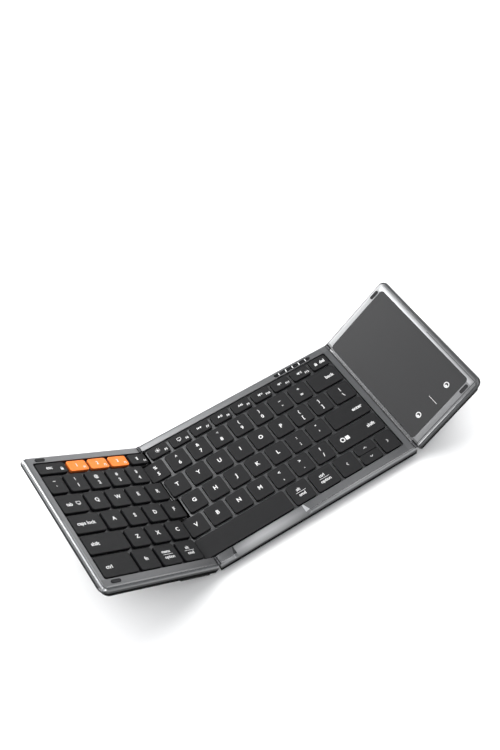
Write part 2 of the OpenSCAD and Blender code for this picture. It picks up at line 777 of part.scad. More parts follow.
module left_bottom_cover()
    raise_left() color(cover_black) {
        difference() {
            on_left() translate([0, 0, cover_z])
                wing_tray(left_wing_w - cover_end_inset, half_depth - cover_inset, cover_h,
                    corner_r - cover_inset, cover_edge_r);
            block([-hinge_x - left_wing_w + end_wall, -cavity_y, floor_z],
                [-hinge_x - left_block, cavity_y, case_z + 1]);
            left_wells();
            left_notches();
            on_left() translate([-hinge_x, 0, 0]) hinge_corner(1);
            screw_ways(left_screw_x);
            leaf_pockets(-hinge_x, -1);
        }
        for (i = [1:3])
            block([-hinge_x - left_block - i * left_field / 4 - rib_t / 2, field_front + 2,
                    floor_z],
                [-hinge_x - left_block - i * left_field / 4 + rib_t / 2, field_back - 2,
                    plate_z]);
    }

module left_sheet_area(z0, z1)
    block([-hinge_x - left_field, field_front, z0],
        [-hinge_x - left_block - plate_clear, field_back, z1]);

module left_key_plate() raise_left() color(steel) left_sheet_area(plate_z, sheet_z);

module left_dome_sheet()
    raise_left() color(sheet_white) {
        left_sheet_area(sheet_z, sheet_top_z);
        for (r = [1:row_count], k = [0:left_keys[r - 1] - 1]) dome(left_cell(r, k), r);
    }

module left_feet() raise_left() color(rubber_black) feet(left_foot_x, [edge_foot_inset, foot_inset]);
module left_bumpers() raise_left() color(rubber_black) bumpers(left_bumper_x);
module left_screws() raise_left() color(steel) screws(left_screw_x);

// ---------------------------------------------------------------- right wing

// Two round lugs under the touchpad's back edge, which it tilts on
module pad_pivots(grow)
    for (side = [-1, 1])
        translate([click_x + side * pad_pivot_x - pad_pivot_len / 2 - grow, pad_pivot_y,
            pad_pivot_z])
            rotate([0, 90, 0]) cylinder(h = pad_pivot_len + 2 * grow, r = pad_pivot_r + grow);

// The touchpad lies in a pocket with a raised strip under its back edge
module pad_pocket()
    difference() {
        rounded_block([pad_x0 - pad_clear, pad_y0 - pad_clear],
            [pad_x1 + pad_clear, pad_y1 + pad_clear], pad_r + pad_clear, pad_ledge_z,
            rail_z + above);
        block([pad_x0 + pad_r, pad_y1 - pad_ledge, pad_ledge_z - 1],
            [pad_x1 - pad_r, pad_y1 + 1, pad_z - pad_rest_gap]);
    }

module right_top_case()
    raise_right() color(metal_grey) with_posts(right_screw_x)
        difference() {
            on_right() translate([0, 0, case_z])
                wing_body(right_wing_w, half_depth, case_h, corner_r, edge_r);
            pad_pocket();
            block([pad_x0 + pad_ledge, pad_y0 + pad_ledge, case_z - 1],
                [pad_x1 - pad_ledge, pad_y1 - pad_ledge, rail_z]);
            block([hinge_x + right_block, -cavity_y, case_z - 1],
                [hinge_x + right_wing_w - end_wall, cavity_y, cavity_top_z - 0.3]);
            hinge_slots(hinge_x);
            leaf_pockets(hinge_x, 1);
            hinge_corner(1);
            bumper_seats(right_bumper_x);
            pad_pivots(pad_rest_gap);
        }

module right_bottom_cover()
    raise_right() color(cover_black) {
        difference() {
            on_right() translate([0, 0, cover_z])
                wing_tray(right_wing_w - cover_end_inset, half_depth - cover_inset, cover_h,
                    corner_r - cover_inset, cover_edge_r);
            block([hinge_x + middle_block, -cavity_y, floor_z],
                [hinge_x + right_wing_w - end_wall, cavity_y, case_z + 1]);
            hinge_corner(1);
            screw_ways(right_screw_x);
            leaf_pockets(hinge_x, 1);
        }
        translate([click_x, click_y, floor_z])
            cylinder(h = pad_board_z - click_h - pad_travel - floor_z, r = click_r + 1);
    }

module right_feet() raise_right() color(rubber_black) feet(right_foot_x, [right_foot_inset, right_foot_inset]);
module right_bumpers() raise_right() color(rubber_black) bumpers(right_bumper_x);
module right_screws() raise_right() color(steel) screws(right_screw_x);

module battery()
    raise_right() color(amber)
        translate([click_x - battery_size.x / 2, 0, floor_z]) cube(battery_size);

module touchpad()
    raise_right() color(pad_grey) {
        rounded_block([pad_x0, pad_y0], [pad_x1, pad_y1], pad_r, pad_z, pad_top_z);
        pad_pivots(0);
    }

module touchpad_board()
    raise_right() color(board_green) {
        block([pad_x0 + pad_board_margin, pad_y0 + pad_board_margin, pad_board_z],
            [pad_x1 - pad_board_margin, pad_y1 - pad_board_margin, pad_z]);
        translate([click_x, click_y, pad_board_z - click_h]) cylinder(h = click_h, r = click_r);
    }

// ---------------------------------------------------------------- keys

module cap_between(low, high) {
    wall = [key_wall, key_wall];
    difference() {
        rounded_block(low, high, key_r, skirt_z, key_top_z);
        rounded_block(low + wall, high - wall, key_r - key_wall + 0.2, skirt_z - 1,
            key_top_z - key_roof);
    }
}

module key_cap(cell, r) {
    edge = key_gap / 2;
    cap_between([cell[0] + edge, row_front(r) + edge], [cell[1] - edge, row_back(r) - edge]);
}

// The up and down arrows are the back (side = 1) and front (side = -1) half of one key
module half_key(side) {
    cell = middle_cell(row_count, arrow_cell);
    edge = key_gap / 2;
    middle = (row_front(row_count) + row_back(row_count)) / 2;
    reach = bottom_row_depth / 2 - edge;
    near = min(side * half_key_gap / 2, side * reach);
    far = max(side * half_key_gap / 2, side * reach);
    cap_between([cell[0] + edge, middle + near], [cell[1] - edge, middle + far]);
}

module left_key_group(r, first, last, tint = key_grey)
    raise_left() color(tint) for (k = [first:last]) key_cap(left_cell(r, k), r);
module middle_key_group(r, first, last)
    on_table() color(key_grey) for (k = [first:last]) key_cap(middle_cell(r, k), r);

module key_escape() left_key_group(1, 4, 4);
module keys_f1_to_f3() left_key_group(1, 1, 3, key_orange);
module key_f4() left_key_group(1, 0, 0);
module keys_grave_to_4() left_key_group(2, 0, 4);
module key_tab() left_key_group(3, 4, 4);
module keys_q_to_r() left_key_group(3, 0, 3);
module key_caps_lock() left_key_group(4, 4, 4);
module keys_a_to_f() left_key_group(4, 0, 3);
module key_left_shift() left_key_group(5, 3, 3);
module keys_z_to_c() left_key_group(5, 0, 2);
module key_left_control() left_key_group(6, 3, 3);
module key_function() left_key_group(6, 2, 2);
module key_left_option() left_key_group(6, 1, 1);
module key_left_alt() left_key_group(6, 0, 0);
module keys_f5_to_f12() middle_key_group(1, 0, 7);
module key_delete() middle_key_group(1, 8, 8);
module keys_5_to_equals() middle_key_group(2, 0, 7);
module key_backspace() middle_key_group(2, 8, 8);
module keys_t_to_backslash() middle_key_group(3, 0, 8);
module keys_g_to_quote() middle_key_group(4, 0, 6);
module key_enter() middle_key_group(4, 7, 7);
module keys_v_to_slash() middle_key_group(5, 0, 6);
module key_right_shift() middle_key_group(5, 7, 7);
module key_space() middle_key_group(6, 0, 0);
module key_right_alt() middle_key_group(6, 1, 1);
module key_right_control() middle_key_group(6, 2, 2);
module key_arrow_left() middle_key_group(6, 3, 3);
module key_arrow_up() on_table() color(key_grey) half_key(1);
module key_arrow_down() on_table() color(key_grey) half_key(-1);
module key_arrow_right() middle_key_group(6, 5, 5);

// ---------------------------------------------------------------- assembly

middle_top_case();
middle_bottom_cover();
middle_key_plate();
middle_dome_sheet();
middle_feet();
middle_screws();
main_board();
charging_socket();
indicator_window();
power_switch_knob();
middle_hinge_leaves();
hinge_pins();
flex_cables();
left_top_case();
left_bottom_cover();
left_key_plate();
left_dome_sheet();
left_feet();
left_bumpers();
left_screws();
left_hinge_leaves();
right_top_case();
right_bottom_cover();
right_feet();
right_bumpers();
right_screws();
right_hinge_leaves();
battery();
touchpad();
touchpad_board();
key_escape();
keys_f1_to_f3();
key_f4();
keys_grave_to_4();
key_tab();
keys_q_to_r();
key_caps_lock();
keys_a_to_f();
key_left_shift();
keys_z_to_c();
key_left_control();
key_function();
key_left_option();
key_left_alt();
keys_f5_to_f12();
key_delete();
keys_5_to_equals();
key_backspace();
keys_t_to_backslash();
keys_g_to_quote();
key_enter();
keys_v_to_slash();
key_right_shift();
key_space();
key_right_alt();
key_right_control();
key_arrow_left();
key_arrow_up();
key_arrow_down();
key_arrow_right();
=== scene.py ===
"""Dresses a folding keyboard: its modelled pieces, its finishes and a plain studio."""

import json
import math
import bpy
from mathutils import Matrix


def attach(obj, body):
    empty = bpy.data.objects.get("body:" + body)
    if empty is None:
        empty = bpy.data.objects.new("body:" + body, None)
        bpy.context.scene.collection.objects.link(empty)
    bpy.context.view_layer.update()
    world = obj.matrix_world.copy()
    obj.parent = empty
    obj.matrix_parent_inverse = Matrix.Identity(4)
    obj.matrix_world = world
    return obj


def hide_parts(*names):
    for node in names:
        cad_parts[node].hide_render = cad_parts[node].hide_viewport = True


bl_info = {
    "name": "Folding Keyboard",
    "version": (1, 0, 0),
    "blender": (4, 5, 0),
    "location": "View3D > Sidebar > Keyboard",
    "description": "Builds the visible pieces of a folding keyboard over its packed frame",
    "category": "Object",
}

import bmesh
import bpy
from mathutils import Matrix, Vector

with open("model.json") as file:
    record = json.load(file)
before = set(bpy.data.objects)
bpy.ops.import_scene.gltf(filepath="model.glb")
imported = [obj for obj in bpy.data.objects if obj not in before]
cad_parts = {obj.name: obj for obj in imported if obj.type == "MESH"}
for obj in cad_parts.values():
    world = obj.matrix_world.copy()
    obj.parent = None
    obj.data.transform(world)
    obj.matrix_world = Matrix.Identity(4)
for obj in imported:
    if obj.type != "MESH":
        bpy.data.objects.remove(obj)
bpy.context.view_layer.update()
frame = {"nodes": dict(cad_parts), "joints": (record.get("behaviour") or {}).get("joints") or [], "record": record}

MM = 0.001


def joint(name):
    """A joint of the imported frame."""
    return next(j for j in frame["joints"] if j["name"] == name)


left_hinge = Vector(joint("fold_left_wing")["pos_m"])
right_hinge = Vector(joint("fold_right_wing")["pos_m"])
left_raise = -math.radians(joint("fold_left_wing")["range_deg"][0])
right_raise = -math.radians(joint("fold_right_wing")["range_deg"][0])
half_span = (right_hinge.x - left_hinge.x) / 2 / MM
axis_height = left_hinge.z / MM
body_of_node = {
    node: body
    for body, nodes in frame["record"]["behaviour"]["bodies"].items()
    for node in nodes
}


# ------------------------------------------------------------------ sizes and colours


def length(name, words, default):
    return bpy.props.FloatProperty(
        name=name, description=words, default=default * MM, unit="LENGTH", precision=5
    )


def colour(name, words, default):
    return bpy.props.FloatVectorProperty(
        name=name, description=words, default=default, subtype="COLOR", size=3, min=0, max=1
    )


class KeyboardSizes(bpy.types.PropertyGroup):
    panel_depth: length("Panel depth", "Depth of every panel, front to back", 121.1)
    left_width: length("Left wing", "Left wing, from its hinge to its outer edge", 105)
    right_width: length("Right wing", "Right wing, from its hinge to its outer edge", 70)
    rail_height: length("Rail height", "Height of the rails with the panels flat", 9)
    deck_drop: length("Deck drop", "Depth of the key deck below the rails", 2)
    edge_round: length("Edge rounding", "Radius of the cases' rounded outer edge", 2.9)
    key_gap: length("Key gap", "Gap between neighbouring key caps", 2.4)
    key_corner: length("Key corner", "Corner radius of a key cap", 1.8)
    key_edge: length("Key edge", "Rounding round the top of a key cap", 0.32)
    key_top: length("Key top", "Height of a key cap's top with the panels flat", 9.05)
    key_skirt: length("Key skirt", "Height of a key cap's lower rim", 6.7)
    ink: length("Ink", "How far a legend stands on its key", 0.02)


class KeyboardColours(bpy.types.PropertyGroup):
    metal: colour("Metal", "Anodised aluminium of the cases", (0.212, 0.2135, 0.217))
    cover: colour("Cover", "Black plastic of the bottom covers", (0.0015, 0.0015, 0.0016))
    key: colour("Keys", "Dark grey plastic of the keys", (0.0088, 0.0088, 0.0093))
    # The key skirts are the key plastic painted darker, as shade on their sides
    skirt: colour("Key skirts", "Sides of the keys", (0.006, 0.006, 0.007))
    orange: colour("Orange keys", "The three orange keys", (0.85, 0.185, 0.025))
    # The orange skirts are the orange plastic painted darker, as shade on their sides
    orange_skirt: colour("Orange skirts", "Sides of the orange keys", (0.45, 0.1, 0.02))
    ink: colour("Legends", "Ink of the legends", (0.66, 0.66, 0.66))
    touchpad: colour("Touchpad", "Surface of the touchpad", (0.018, 0.018, 0.0188))
    rubber: colour("Rubber", "Feet and bumpers", (0.018, 0.018, 0.019))
    floor: colour("Floor", "Studio floor", (0.9, 0.9, 0.9))


def sizes():
    """The sizes that the panel shows, in millimetres."""
    group = bpy.context.scene.keyboard_sizes
    return {name: getattr(group, name) / MM for name in KeyboardSizes.__annotations__}


def paint(name):
    """A colour that the panel shows."""
    return (*getattr(bpy.context.scene.keyboard_colours, name), 1)


def paints(*names):
    return [paint(name) for name in names]


# ------------------------------------------------------------------ places

# Pieces are modelled in millimetres with all panels flat, then put in place
to_centre = Vector(((left_hinge.x + right_hinge.x) / 2, left_hinge.y, 0))


def wing_place(hinge, turn, reach):
    return (
        Matrix.Translation(hinge)
        @ Matrix.Rotation(turn, 4, "Y")
        @ Matrix.Scale(MM, 4)
        @ Matrix.Translation((reach, 0, -axis_height))
    )


PLACES = {
    "middle": Matrix.Translation(to_centre) @ Matrix.Scale(MM, 4),
    "left": wing_place(left_hinge, left_raise, half_span),
    "right": wing_place(right_hinge, -right_raise, -half_span),
}

# Widths of the rails, depths of the key rows and steps between keys, in millimetres
BACK_RAIL, FRONT_RAIL, OUTER_RAIL, RIGHT_RAIL = 6.8, 8.9, 6.8, 6.2
F_ROW, BOTTOM_ROW, KEY_PITCH, WIDE_PITCH = 12, 19.8, 18.6, 19.75
# For each row: where the fold parts the keys, where the second key starts and how many keys
SEAMS = (2.8, -7.1, -0.2, 3.5, -6.0, -7.2)
LEFT_FIRST = (18.8, 18.4, 18.2, 18.1, 17.9, 19.7)
LEFT_COUNT = (5, 5, 5, 5, 4, 4)
MIDDLE_FIRST = (18.8, 18.3, 18.3, 18.0, 17.9)
MIDDLE_COUNT = (9, 9, 9, 8, 8, 6)
BOTTOM_WIDTHS = (19.8, 22.7, 19.5, 19.5, 16.7)


def row_span(row):
    """Front and back of a key row, from 0, the function row, to 5, the bottom row."""
    half = sizes()["panel_depth"] / 2
    pitch = (2 * half - BACK_RAIL - FRONT_RAIL - F_ROW - BOTTOM_ROW) / 4
    back = half - BACK_RAIL - (F_ROW + (row - 1) * pitch if row else 0)
    depth = F_ROW if row == 0 else BOTTOM_ROW if row == 5 else pitch
    return back - depth, back


def left_line(row, k):
    """The k-th line between the left wing's keys, from its hinge outwards."""
    if k == 0:
        return -SEAMS[row]
    if k == LEFT_COUNT[row]:
        return sizes()["left_width"] - OUTER_RAIL
    pitch = WIDE_PITCH if row == 5 else KEY_PITCH
    return LEFT_FIRST[row] - SEAMS[row] + (k - 1) * pitch


def middle_line(row, k):
    """The k-th line between the middle panel's keys, from left to right."""
    if k == 0:
        return SEAMS[row] - half_span
    if k == MIDDLE_COUNT[row]:
        return half_span - RIGHT_RAIL
    if row == 5:
        return half_span - RIGHT_RAIL - sum(BOTTOM_WIDTHS[k - 1 :])
    return SEAMS[row] - half_span + MIDDLE_FIRST[row] + (k - 1) * KEY_PITCH


def key_box(panel, row, k):
    """Low and high corner of a key cap, seen from above."""
    if panel == "left":
        low, high = -half_span - left_line(row, k + 1), -half_span - left_line(row, k)
    else:
        low, high = middle_line(row, k), middle_line(row, k + 1)
    front, back = row_span(row)
    edge = sizes()["key_gap"] / 2
    return Vector((low + edge, front + edge)), Vector((high - edge, back - edge))


# ------------------------------------------------------------------ finishes


class Wire:
    """A value that runs through a material; sums with it add the nodes that work them out."""

    def __init__(self, finish, socket):
        self.finish, self.socket = finish, socket

    def _sum(self, operation, first, second):
        settings = {"operation": operation}
        return self.finish.node("ShaderNodeMath", settings, {0: first, 1: second})

    def __add__(self, other):
        return self._sum("ADD", self, other)

    def __sub__(self, other):
        return self._sum("SUBTRACT", self, other)

    def __rsub__(self, other):
        return self._sum("SUBTRACT", other, self)

    def __mul__(self, other):
        return self._sum("MULTIPLY", self, other)

    def __gt__(self, other):
        return self._sum("GREATER_THAN", self, other)

    def __lt__(self, other):
        return self._sum("LESS_THAN", self, other)

    def __abs__(self):
        return self._sum("ABSOLUTE", self, 0)

    def least(self, other):
        return self._sum("MINIMUM", self, other)

    __radd__ = __add__


class Finish:
    """One procedural material, built round a Principled shader."""

    def __init__(self, name, **constants):
        self.material = bpy.data.materials.new(name)
        self.material.use_nodes = True
        self.nodes, self.links = self.material.node_tree.nodes, self.material.node_tree.links
        self.nodes.clear()
        self.shader = self.nodes.new("ShaderNodeBsdfPrincipled")
        out = self.nodes.new("ShaderNodeOutputMaterial")
        self.links.new(self.shader.outputs[0], out.inputs["Surface"])
        for socket, value in constants.items():
            self.shader.inputs[socket.replace("_", " ")].default_value = value

    def node(self, kind, settings, values, output=0):
        """Adds a node: its settings first, then the value or wire of each socket."""
        made = self.nodes.new(kind)
        for name, value in settings.items():
            setattr(made, name, value)
        for socket, value in values.items():
            if isinstance(value, Wire):
                self.links.new(value.socket, made.inputs[socket])
            else:
                made.inputs[socket].default_value = value
        return Wire(self, made.outputs[output])

    def feed(self, **wires):
        """Wires up the shader and gives back the material."""
        for socket, wire in wires.items():
            self.links.new(wire.socket, self.shader.inputs[socket.replace("_", " ")])
        return self.material

    def spot(self, panel="middle"):
        """Where the surface is, in millimetres on its panel laid flat."""
        inverse = PLACES[panel].inverted()
        where = self.node("ShaderNodeTexCoord", {}, {}, "Object")
        return self.node(
            "ShaderNodeMapping",
            {},
            {
                "Vector": where,
                "Location": inverse.translation,
                "Rotation": inverse.to_euler(),
                "Scale": (1 / MM,) * 3,
            },
        )

    def noise(self, where, scale, detail, rough):
        values = {"Vector": where, "Scale": scale, "Detail": detail, "Roughness": rough}
        return self.node("ShaderNodeTexNoise", {}, values)

    def stretch(self, where, scale):
        return self.node("ShaderNodeMapping", {}, {"Vector": where, "Scale": scale})

    def parts(self, where):
        """The x, y and z of a place."""
        split = self.node("ShaderNodeSeparateXYZ", {}, {0: where})
        outputs = split.socket.node.outputs
        return [Wire(self, outputs[i]) for i in range(3)]

    def mix(self, factor, first, second):
        settings = {"data_type": "RGBA", "clamp_factor": True}
        return self.node("ShaderNodeMix", settings, {0: factor, 6: first, 7: second}, 2)

    def bump(self, height, reach, strength):
        values = {"Height": height, "Distance": reach * MM, "Strength": strength}
        return self.node("ShaderNodeBump", {}, values)


def shade_of(tint, by):
    """A colour made lighter or darker."""
    return tuple(min(1, c * by) for c in tint[:3]) + (1,)


def near(value, place, reach):
    """1 where a value is within reach of a place, and 0 elsewhere."""
    return abs(value - place) < reach


# Where light and shade are painted on the metal, in millimetres; a line has a place and half a width
RAIL_SKIN = 0.4  # depth of the rails' top faces
RAIL_SIDE = 0.2  # where the side faces of the rails begin, below their top
DECK_SKIN = 0.1  # height of the painted light over the key deck
FRONT_SKIN = 0.3  # depth of the front rail's back face
SCOOP = (-42.4, 33.5)  # finger scoop in the middle panel's front rail, painted lighter
SCOOP_ENDS = ((-10.9, 4.5), (-74.2, 0.12))  # place and shade of its sloping ends: a painted highlight on the right end, painted shade on the left
SLOPE_REACH, SLOPE_RIM = 1.7, 3.2
EDGE_HIGHLIGHT_REACH = 0.5  # painted highlight where a rounded edge begins
FRONT_SHADE_LINE = (0.75, 0.35)  # painted shade line, from where the right wing's rounded edge begins
SEAM_SHADE_LINE = (1.0, 0.4)  # painted shade line, from the hinge axis
OUTER_HIGHLIGHT, OUTER_MARGIN = (1.6, 0.55), 1  # painted highlight line, from the left wing's rim
PAINTED_LIGHT_WIDTH, PAINTED_LIGHT_START, SHADED_RIM, SHADED_SEAM = 8, 3.4, 2.6, 3  # painted light and painted shade on the right wing
LIP_SHADE_TOP, LIP_SHADE_REACH = 1.1, 1.15  # painted shade on the metal's lower lip, from the rails' top down


def metal_painted_light(panel, x, y, z):
    """Masks where light and shade are painted on the metal, each with a strength and a shade."""
    size = sizes()
    start, height, half_depth = size["edge_round"], size["rail_height"], size["panel_depth"] / 2
    top = z > height - RAIL_SKIN
    rim = half_depth - abs(y)
    if panel != "middle":
        rim = rim.least(half_span + size[panel + "_width"] - abs(x))
    painted_tones = []
    if panel != "right":
        # A painted highlight along the front, where the rounded edge begins
        painted_tones.append((near(rim, start, EDGE_HIGHLIGHT_REACH) * top * (y < 0), 0.35, 2.0))
    if panel == "middle":
        # On the middle panel: painted light on the finger scoop's slope, with a painted highlight on its right end
        # and painted shade on its left end
        deck = height - size["deck_drop"] + DECK_SKIN
        side = (z < height - RAIL_SIDE) * (z > deck) * (y < FRONT_RAIL - half_depth + FRONT_SKIN)
        painted_tones.append((side * near(x, *SCOOP), 0.3, 2.4))
        for end, shade in SCOOP_ENDS:
            painted_tones.append((side * near(x, end, SLOPE_REACH) * (rim > SLOPE_RIM), 0.85, shade))
        seam, reach = SEAM_SHADE_LINE
        # Painted light on the key deck, the back rail and the right rail; painted shade along the seam by the
        # hinge
        painted_tones += [
            (z < deck, 0.6, 2.4),
            (top * (y > half_depth - BACK_RAIL), 0.3, 1.9),
            (top * (x > half_span - RIGHT_RAIL), 0.2, 1.9),
            (top * near(abs(x), half_span - seam, reach), 0.8, 0.1),
        ]
    if panel == "left":
        # On the left wing: painted shade on the front rail and a painted highlight along the outer edge
        outer = x < OUTER_MARGIN - half_span - size["left_width"] + start
        painted_tones += [
            (top * (y < FRONT_RAIL - half_depth) * (rim > start), 0.4, 0.45),
            (outer * near(rim, *OUTER_HIGHLIGHT), 0.8, 4.0),
        ]
    if panel == "right":
        # On the right wing: painted light that fades outwards on the outer rail, and painted shade at the rim, by
        # the hinge and in a line near the front edge
        outer = x > half_span + size["right_width"] - PAINTED_LIGHT_WIDTH
        line, reach = FRONT_SHADE_LINE
        painted_tones += [
            ((rim - PAINTED_LIGHT_START) * outer * top, 0.35, 1.9),
            (rim < SHADED_RIM, 0.5, 0.45),
            (x < half_span + SHADED_SEAM, 0.7, 0.3),
            (near(rim, start + line, reach) * top * (y < 0), 0.75, 0.2),
        ]
    # Painted shade on the metal's lower lip, darker towards the bottom
    return painted_tones + [((height - LIP_SHADE_TOP - z).least(LIP_SHADE_REACH), 0.8, 0.05)]


def metal_finish(panel):
    """Anodised aluminium: a blasted grain, faint handling marks, and light and shade painted on its edges, rails,
    deck and lip.
    """
    finish = Finish("anodised_" + panel, Metallic=1.0)
    spot = finish.spot(panel)
    grain = finish.noise(spot, 5.5, 3, 0.6)
    cloud = finish.noise(spot, 0.06, 3, 0.55)
    wipes = finish.noise(finish.stretch(spot, (0.05, 0.9, 0.5)), 1.0, 3, 0.6)
    metal = paint("metal")
    tone = finish.mix(grain * 0.55 + cloud * 0.45, shade_of(metal, 0.86), shade_of(metal, 1.12))
    tone = finish.mix((wipes - 0.55) * 1.2, tone, shade_of(metal, 1.2))
    painted_tones = metal_painted_light(panel, *finish.parts(spot))
    for where, strength, shade in painted_tones:
        tone = finish.mix(where * strength, tone, shade_of(metal, shade))
    rough = 0.28 + grain * 0.06 + cloud * 0.06
    if panel != "right":  # the first mask, the painted highlight along the edge, is also polished smoother
        rough = rough - painted_tones[0][0] * 0.08
    return finish.feed(Base_Color=tone, Roughness=rough, Normal=finish.bump(grain, 0.012, 0.5))


def plastic_finish(name, tint, rough, grain_size=7.0, depth=0.02, shine=0.2):
    """Moulded plastic with a fine texture."""
    finish = Finish(name, Specular_IOR_Level=shine)
    spot = finish.spot()
    grain = finish.noise(spot, grain_size, 3, 0.6)
    cloud = finish.noise(spot, 0.08, 3, 0.5)
    mottle = grain * 0.6 + cloud * 0.4
    return finish.feed(
        Base_Color=finish.mix(mottle, shade_of(tint, 0.75), shade_of(tint, 1.3)),
        Roughness=(rough - 0.08) + grain * 0.1 + cloud * 0.08,
        Normal=finish.bump(grain, depth, 0.6),
    )


def rubber_finish(name="soft_rubber", tint=None):
    return plastic_finish(name, tint or paint("rubber"), 0.75, grain_size=4.0, depth=0.03)


KEY_TOP_DEPTH, KEY_FADE = 0.75, 2.2  # how far down a key's top colour reaches, and how sharply; below it the sides take a darker colour, painted shade


def key_finish(name, panel, top, side):
    """Key plastic: a matte top that shines a little where fingers rest, and a skirt painted darker as shade."""
    finish = Finish(name, Specular_IOR_Level=0.22)
    spot = finish.spot(panel)
    grain = finish.noise(spot, 8.0, 2, 0.6)
    shine = finish.noise(spot, 0.11, 2, 0.5)
    # Below the top band the colour turns to the skirt's: painted shade on the sides
    height = finish.parts(spot)[2] - (sizes()["key_top"] - KEY_TOP_DEPTH)
    rubbed = finish.mix(shine, shade_of(top, 0.9), shade_of(top, 1.12))
    speckled = finish.mix(grain * 0.35, rubbed, shade_of(top, 1.35))
    return finish.feed(
        Base_Color=finish.mix(height * KEY_FADE, side, speckled),
        Roughness=0.5 + grain * 0.08 - shine * 0.1,
        Normal=finish.bump(grain, 0.012, 0.5),
    )


def ink_finish():
    finish = Finish("legend_ink", Specular_IOR_Level=0.3)
    wear = finish.noise(finish.spot(), 1.4, 3, 0.6)
    tint = paint("ink")
    return finish.feed(
        Base_Color=finish.mix(wear, shade_of(tint, 0.9), shade_of(tint, 1.05)),
        Roughness=0.45 + wear * 0.15,
    )


def touchpad_finish():
    """Frosted glass over grey: fine sparkle and faint finger traces."""
    finish = Finish("frosted_touchpad", Specular_IOR_Level=0.26)
    spot = finish.spot("right")
    grain = finish.noise(spot, 6.0, 3, 0.65)
    traces = finish.noise(finish.stretch(spot, (0.12, 0.05, 0.1)), 1.0, 4, 0.6)
    tint = paint("touchpad")
    return finish.feed(
        Base_Color=finish.mix(grain, shade_of(tint, 0.82), shade_of(tint, 1.22)),
        Roughness=0.42 + grain * 0.08 - traces * 0.08,
        Normal=finish.bump(grain, 0.01, 0.4),
    )


def steel_finish(name="brushed_steel", tint=(0.56, 0.57, 0.58), rough=0.28):
    finish = Finish(name, Metallic=1.0)
    spot = finish.spot()
    lines = finish.noise(finish.stretch(spot, (3.0, 0.25, 3.0)), 2.0, 3, 0.6)
    cloud = finish.noise(spot, 0.3, 2, 0.5)
    streaks = lines * 0.5 + cloud * 0.5
    return finish.feed(
        Base_Color=finish.mix(streaks, shade_of(tint, 0.75), shade_of(tint, 1.2)),
        Roughness=rough + lines * 0.12,
        Normal=finish.bump(lines, 0.01, 0.5),
    )


def window_finish():
    """Glossy black plastic with faint smears."""
    finish = Finish("window_black", Specular_IOR_Level=0.5)
    smear = finish.noise(finish.spot(), 0.35, 3, 0.6)
    tint = (0.006, 0.006, 0.007)
    return finish.feed(
        Base_Color=finish.mix(smear, shade_of(tint, 0.85), shade_of(tint, 1.15)),
        Roughness=0.12 + smear * 0.1,
    )


def lamp_finish():
    """The pale marks of the indicator window, which glow a little."""
    finish = Finish("indicator_mark", Emission_Strength=0.25, Roughness=0.4)
    glow = finish.noise(finish.spot(), 2.0, 2, 0.5)
    tone = finish.mix(glow, (0.7, 0.71, 0.7, 1), (0.85, 0.86, 0.85, 1))
    return finish.feed(Base_Color=tone, Emission_Color=tone)


def board_finish():
    """Solder mask with traces and pads under it."""
    finish = Finish("circuit_board", Specular_IOR_Level=0.5)
    spot = finish.spot()
    tracks = finish.node(
        "ShaderNodeTexBrick",
        {"offset": 0.35, "squash": 0.6},
        {
            "Vector": spot,
            "Scale": 0.55,
            "Mortar Size": 0.06,
            "Color1": (0, 0, 0, 1),
            "Color2": (0.25, 0.25, 0.25, 1),
            "Mortar": (1, 1, 1, 1),
        },
    )
    fine = finish.noise(spot, 1.5, 3, 0.6)
    return finish.feed(
        Base_Color=finish.mix(tracks, (0.008, 0.07, 0.03, 1), (0.03, 0.17, 0.07, 1)),
        Roughness=0.35 + fine * 0.15,
        Normal=finish.bump(tracks, 0.03, 0.5),
    )


def film_finish():
    """Printed cable film: rows of fine copper lines."""
    finish = Finish("cable_film", Specular_IOR_Level=0.5)
    spot = finish.spot()
    lines = finish.node(
        "ShaderNodeTexWave",
        {"wave_type": "BANDS", "bands_direction": "Y"},
        {"Vector": spot, "Scale": 2.5},
    )
    fine = finish.noise(spot, 1.2, 3, 0.6)
    tint = (0.42, 0.2, 0.05)
    return finish.feed(
        Base_Color=finish.mix(lines * 0.6 + fine * 0.2, shade_of(tint, 0.6), shade_of(tint, 1.2)),
        Roughness=0.35 + fine * 0.2,
    )


FINISHES = {}


def finish_named(name):
    """Makes a finish the first time it is asked for."""
    if name not in FINISHES:
        made = {
            "metal_middle": lambda: metal_finish("middle"),
            "metal_left": lambda: metal_finish("left"),
            "metal_right": lambda: metal_finish("right"),
            "cover": lambda: plastic_finish("cover_plastic", paint("cover"), 0.85, shine=0.05),
            "keys_left": lambda: key_finish("keys_left", "left", *paints("key", "skirt")),
            "keys_middle": lambda: key_finish("keys_middle", "middle", *paints("key", "skirt")),
            "keys_orange": lambda: key_finish(
                "keys_orange", "left", *paints("orange", "orange_skirt")
            ),
            "ink": ink_finish,
            "touchpad": touchpad_finish,
            "rubber": rubber_finish,
            "steel": steel_finish,
            "hinge": lambda: steel_finish("hinge_steel", (0.1, 0.1, 0.105), 0.4),
            "window": window_finish,
            "lamp": lamp_finish,
            "board": board_finish,
            "film": film_finish,
            "foil": lambda: steel_finish("battery_foil", (0.7, 0.7, 0.72), 0.35),
            "domes": lambda: rubber_finish("dome_rubber", (0.5, 0.5, 0.48)),
        }[name]
        FINISHES[name] = made()
    return FINISHES[name]


# ------------------------------------------------------------------ making pieces


FLAT_AREA = 2e-5  # a larger face is a flat one, in square metres
MERGE = 1e-6  # corners closer than this, in metres, are one
FLAT_ANGLE, HARD_ANGLE = math.radians(0.5), math.radians(35)
LEVEL = 1e-4  # heights closer than this, in millimetres, are one


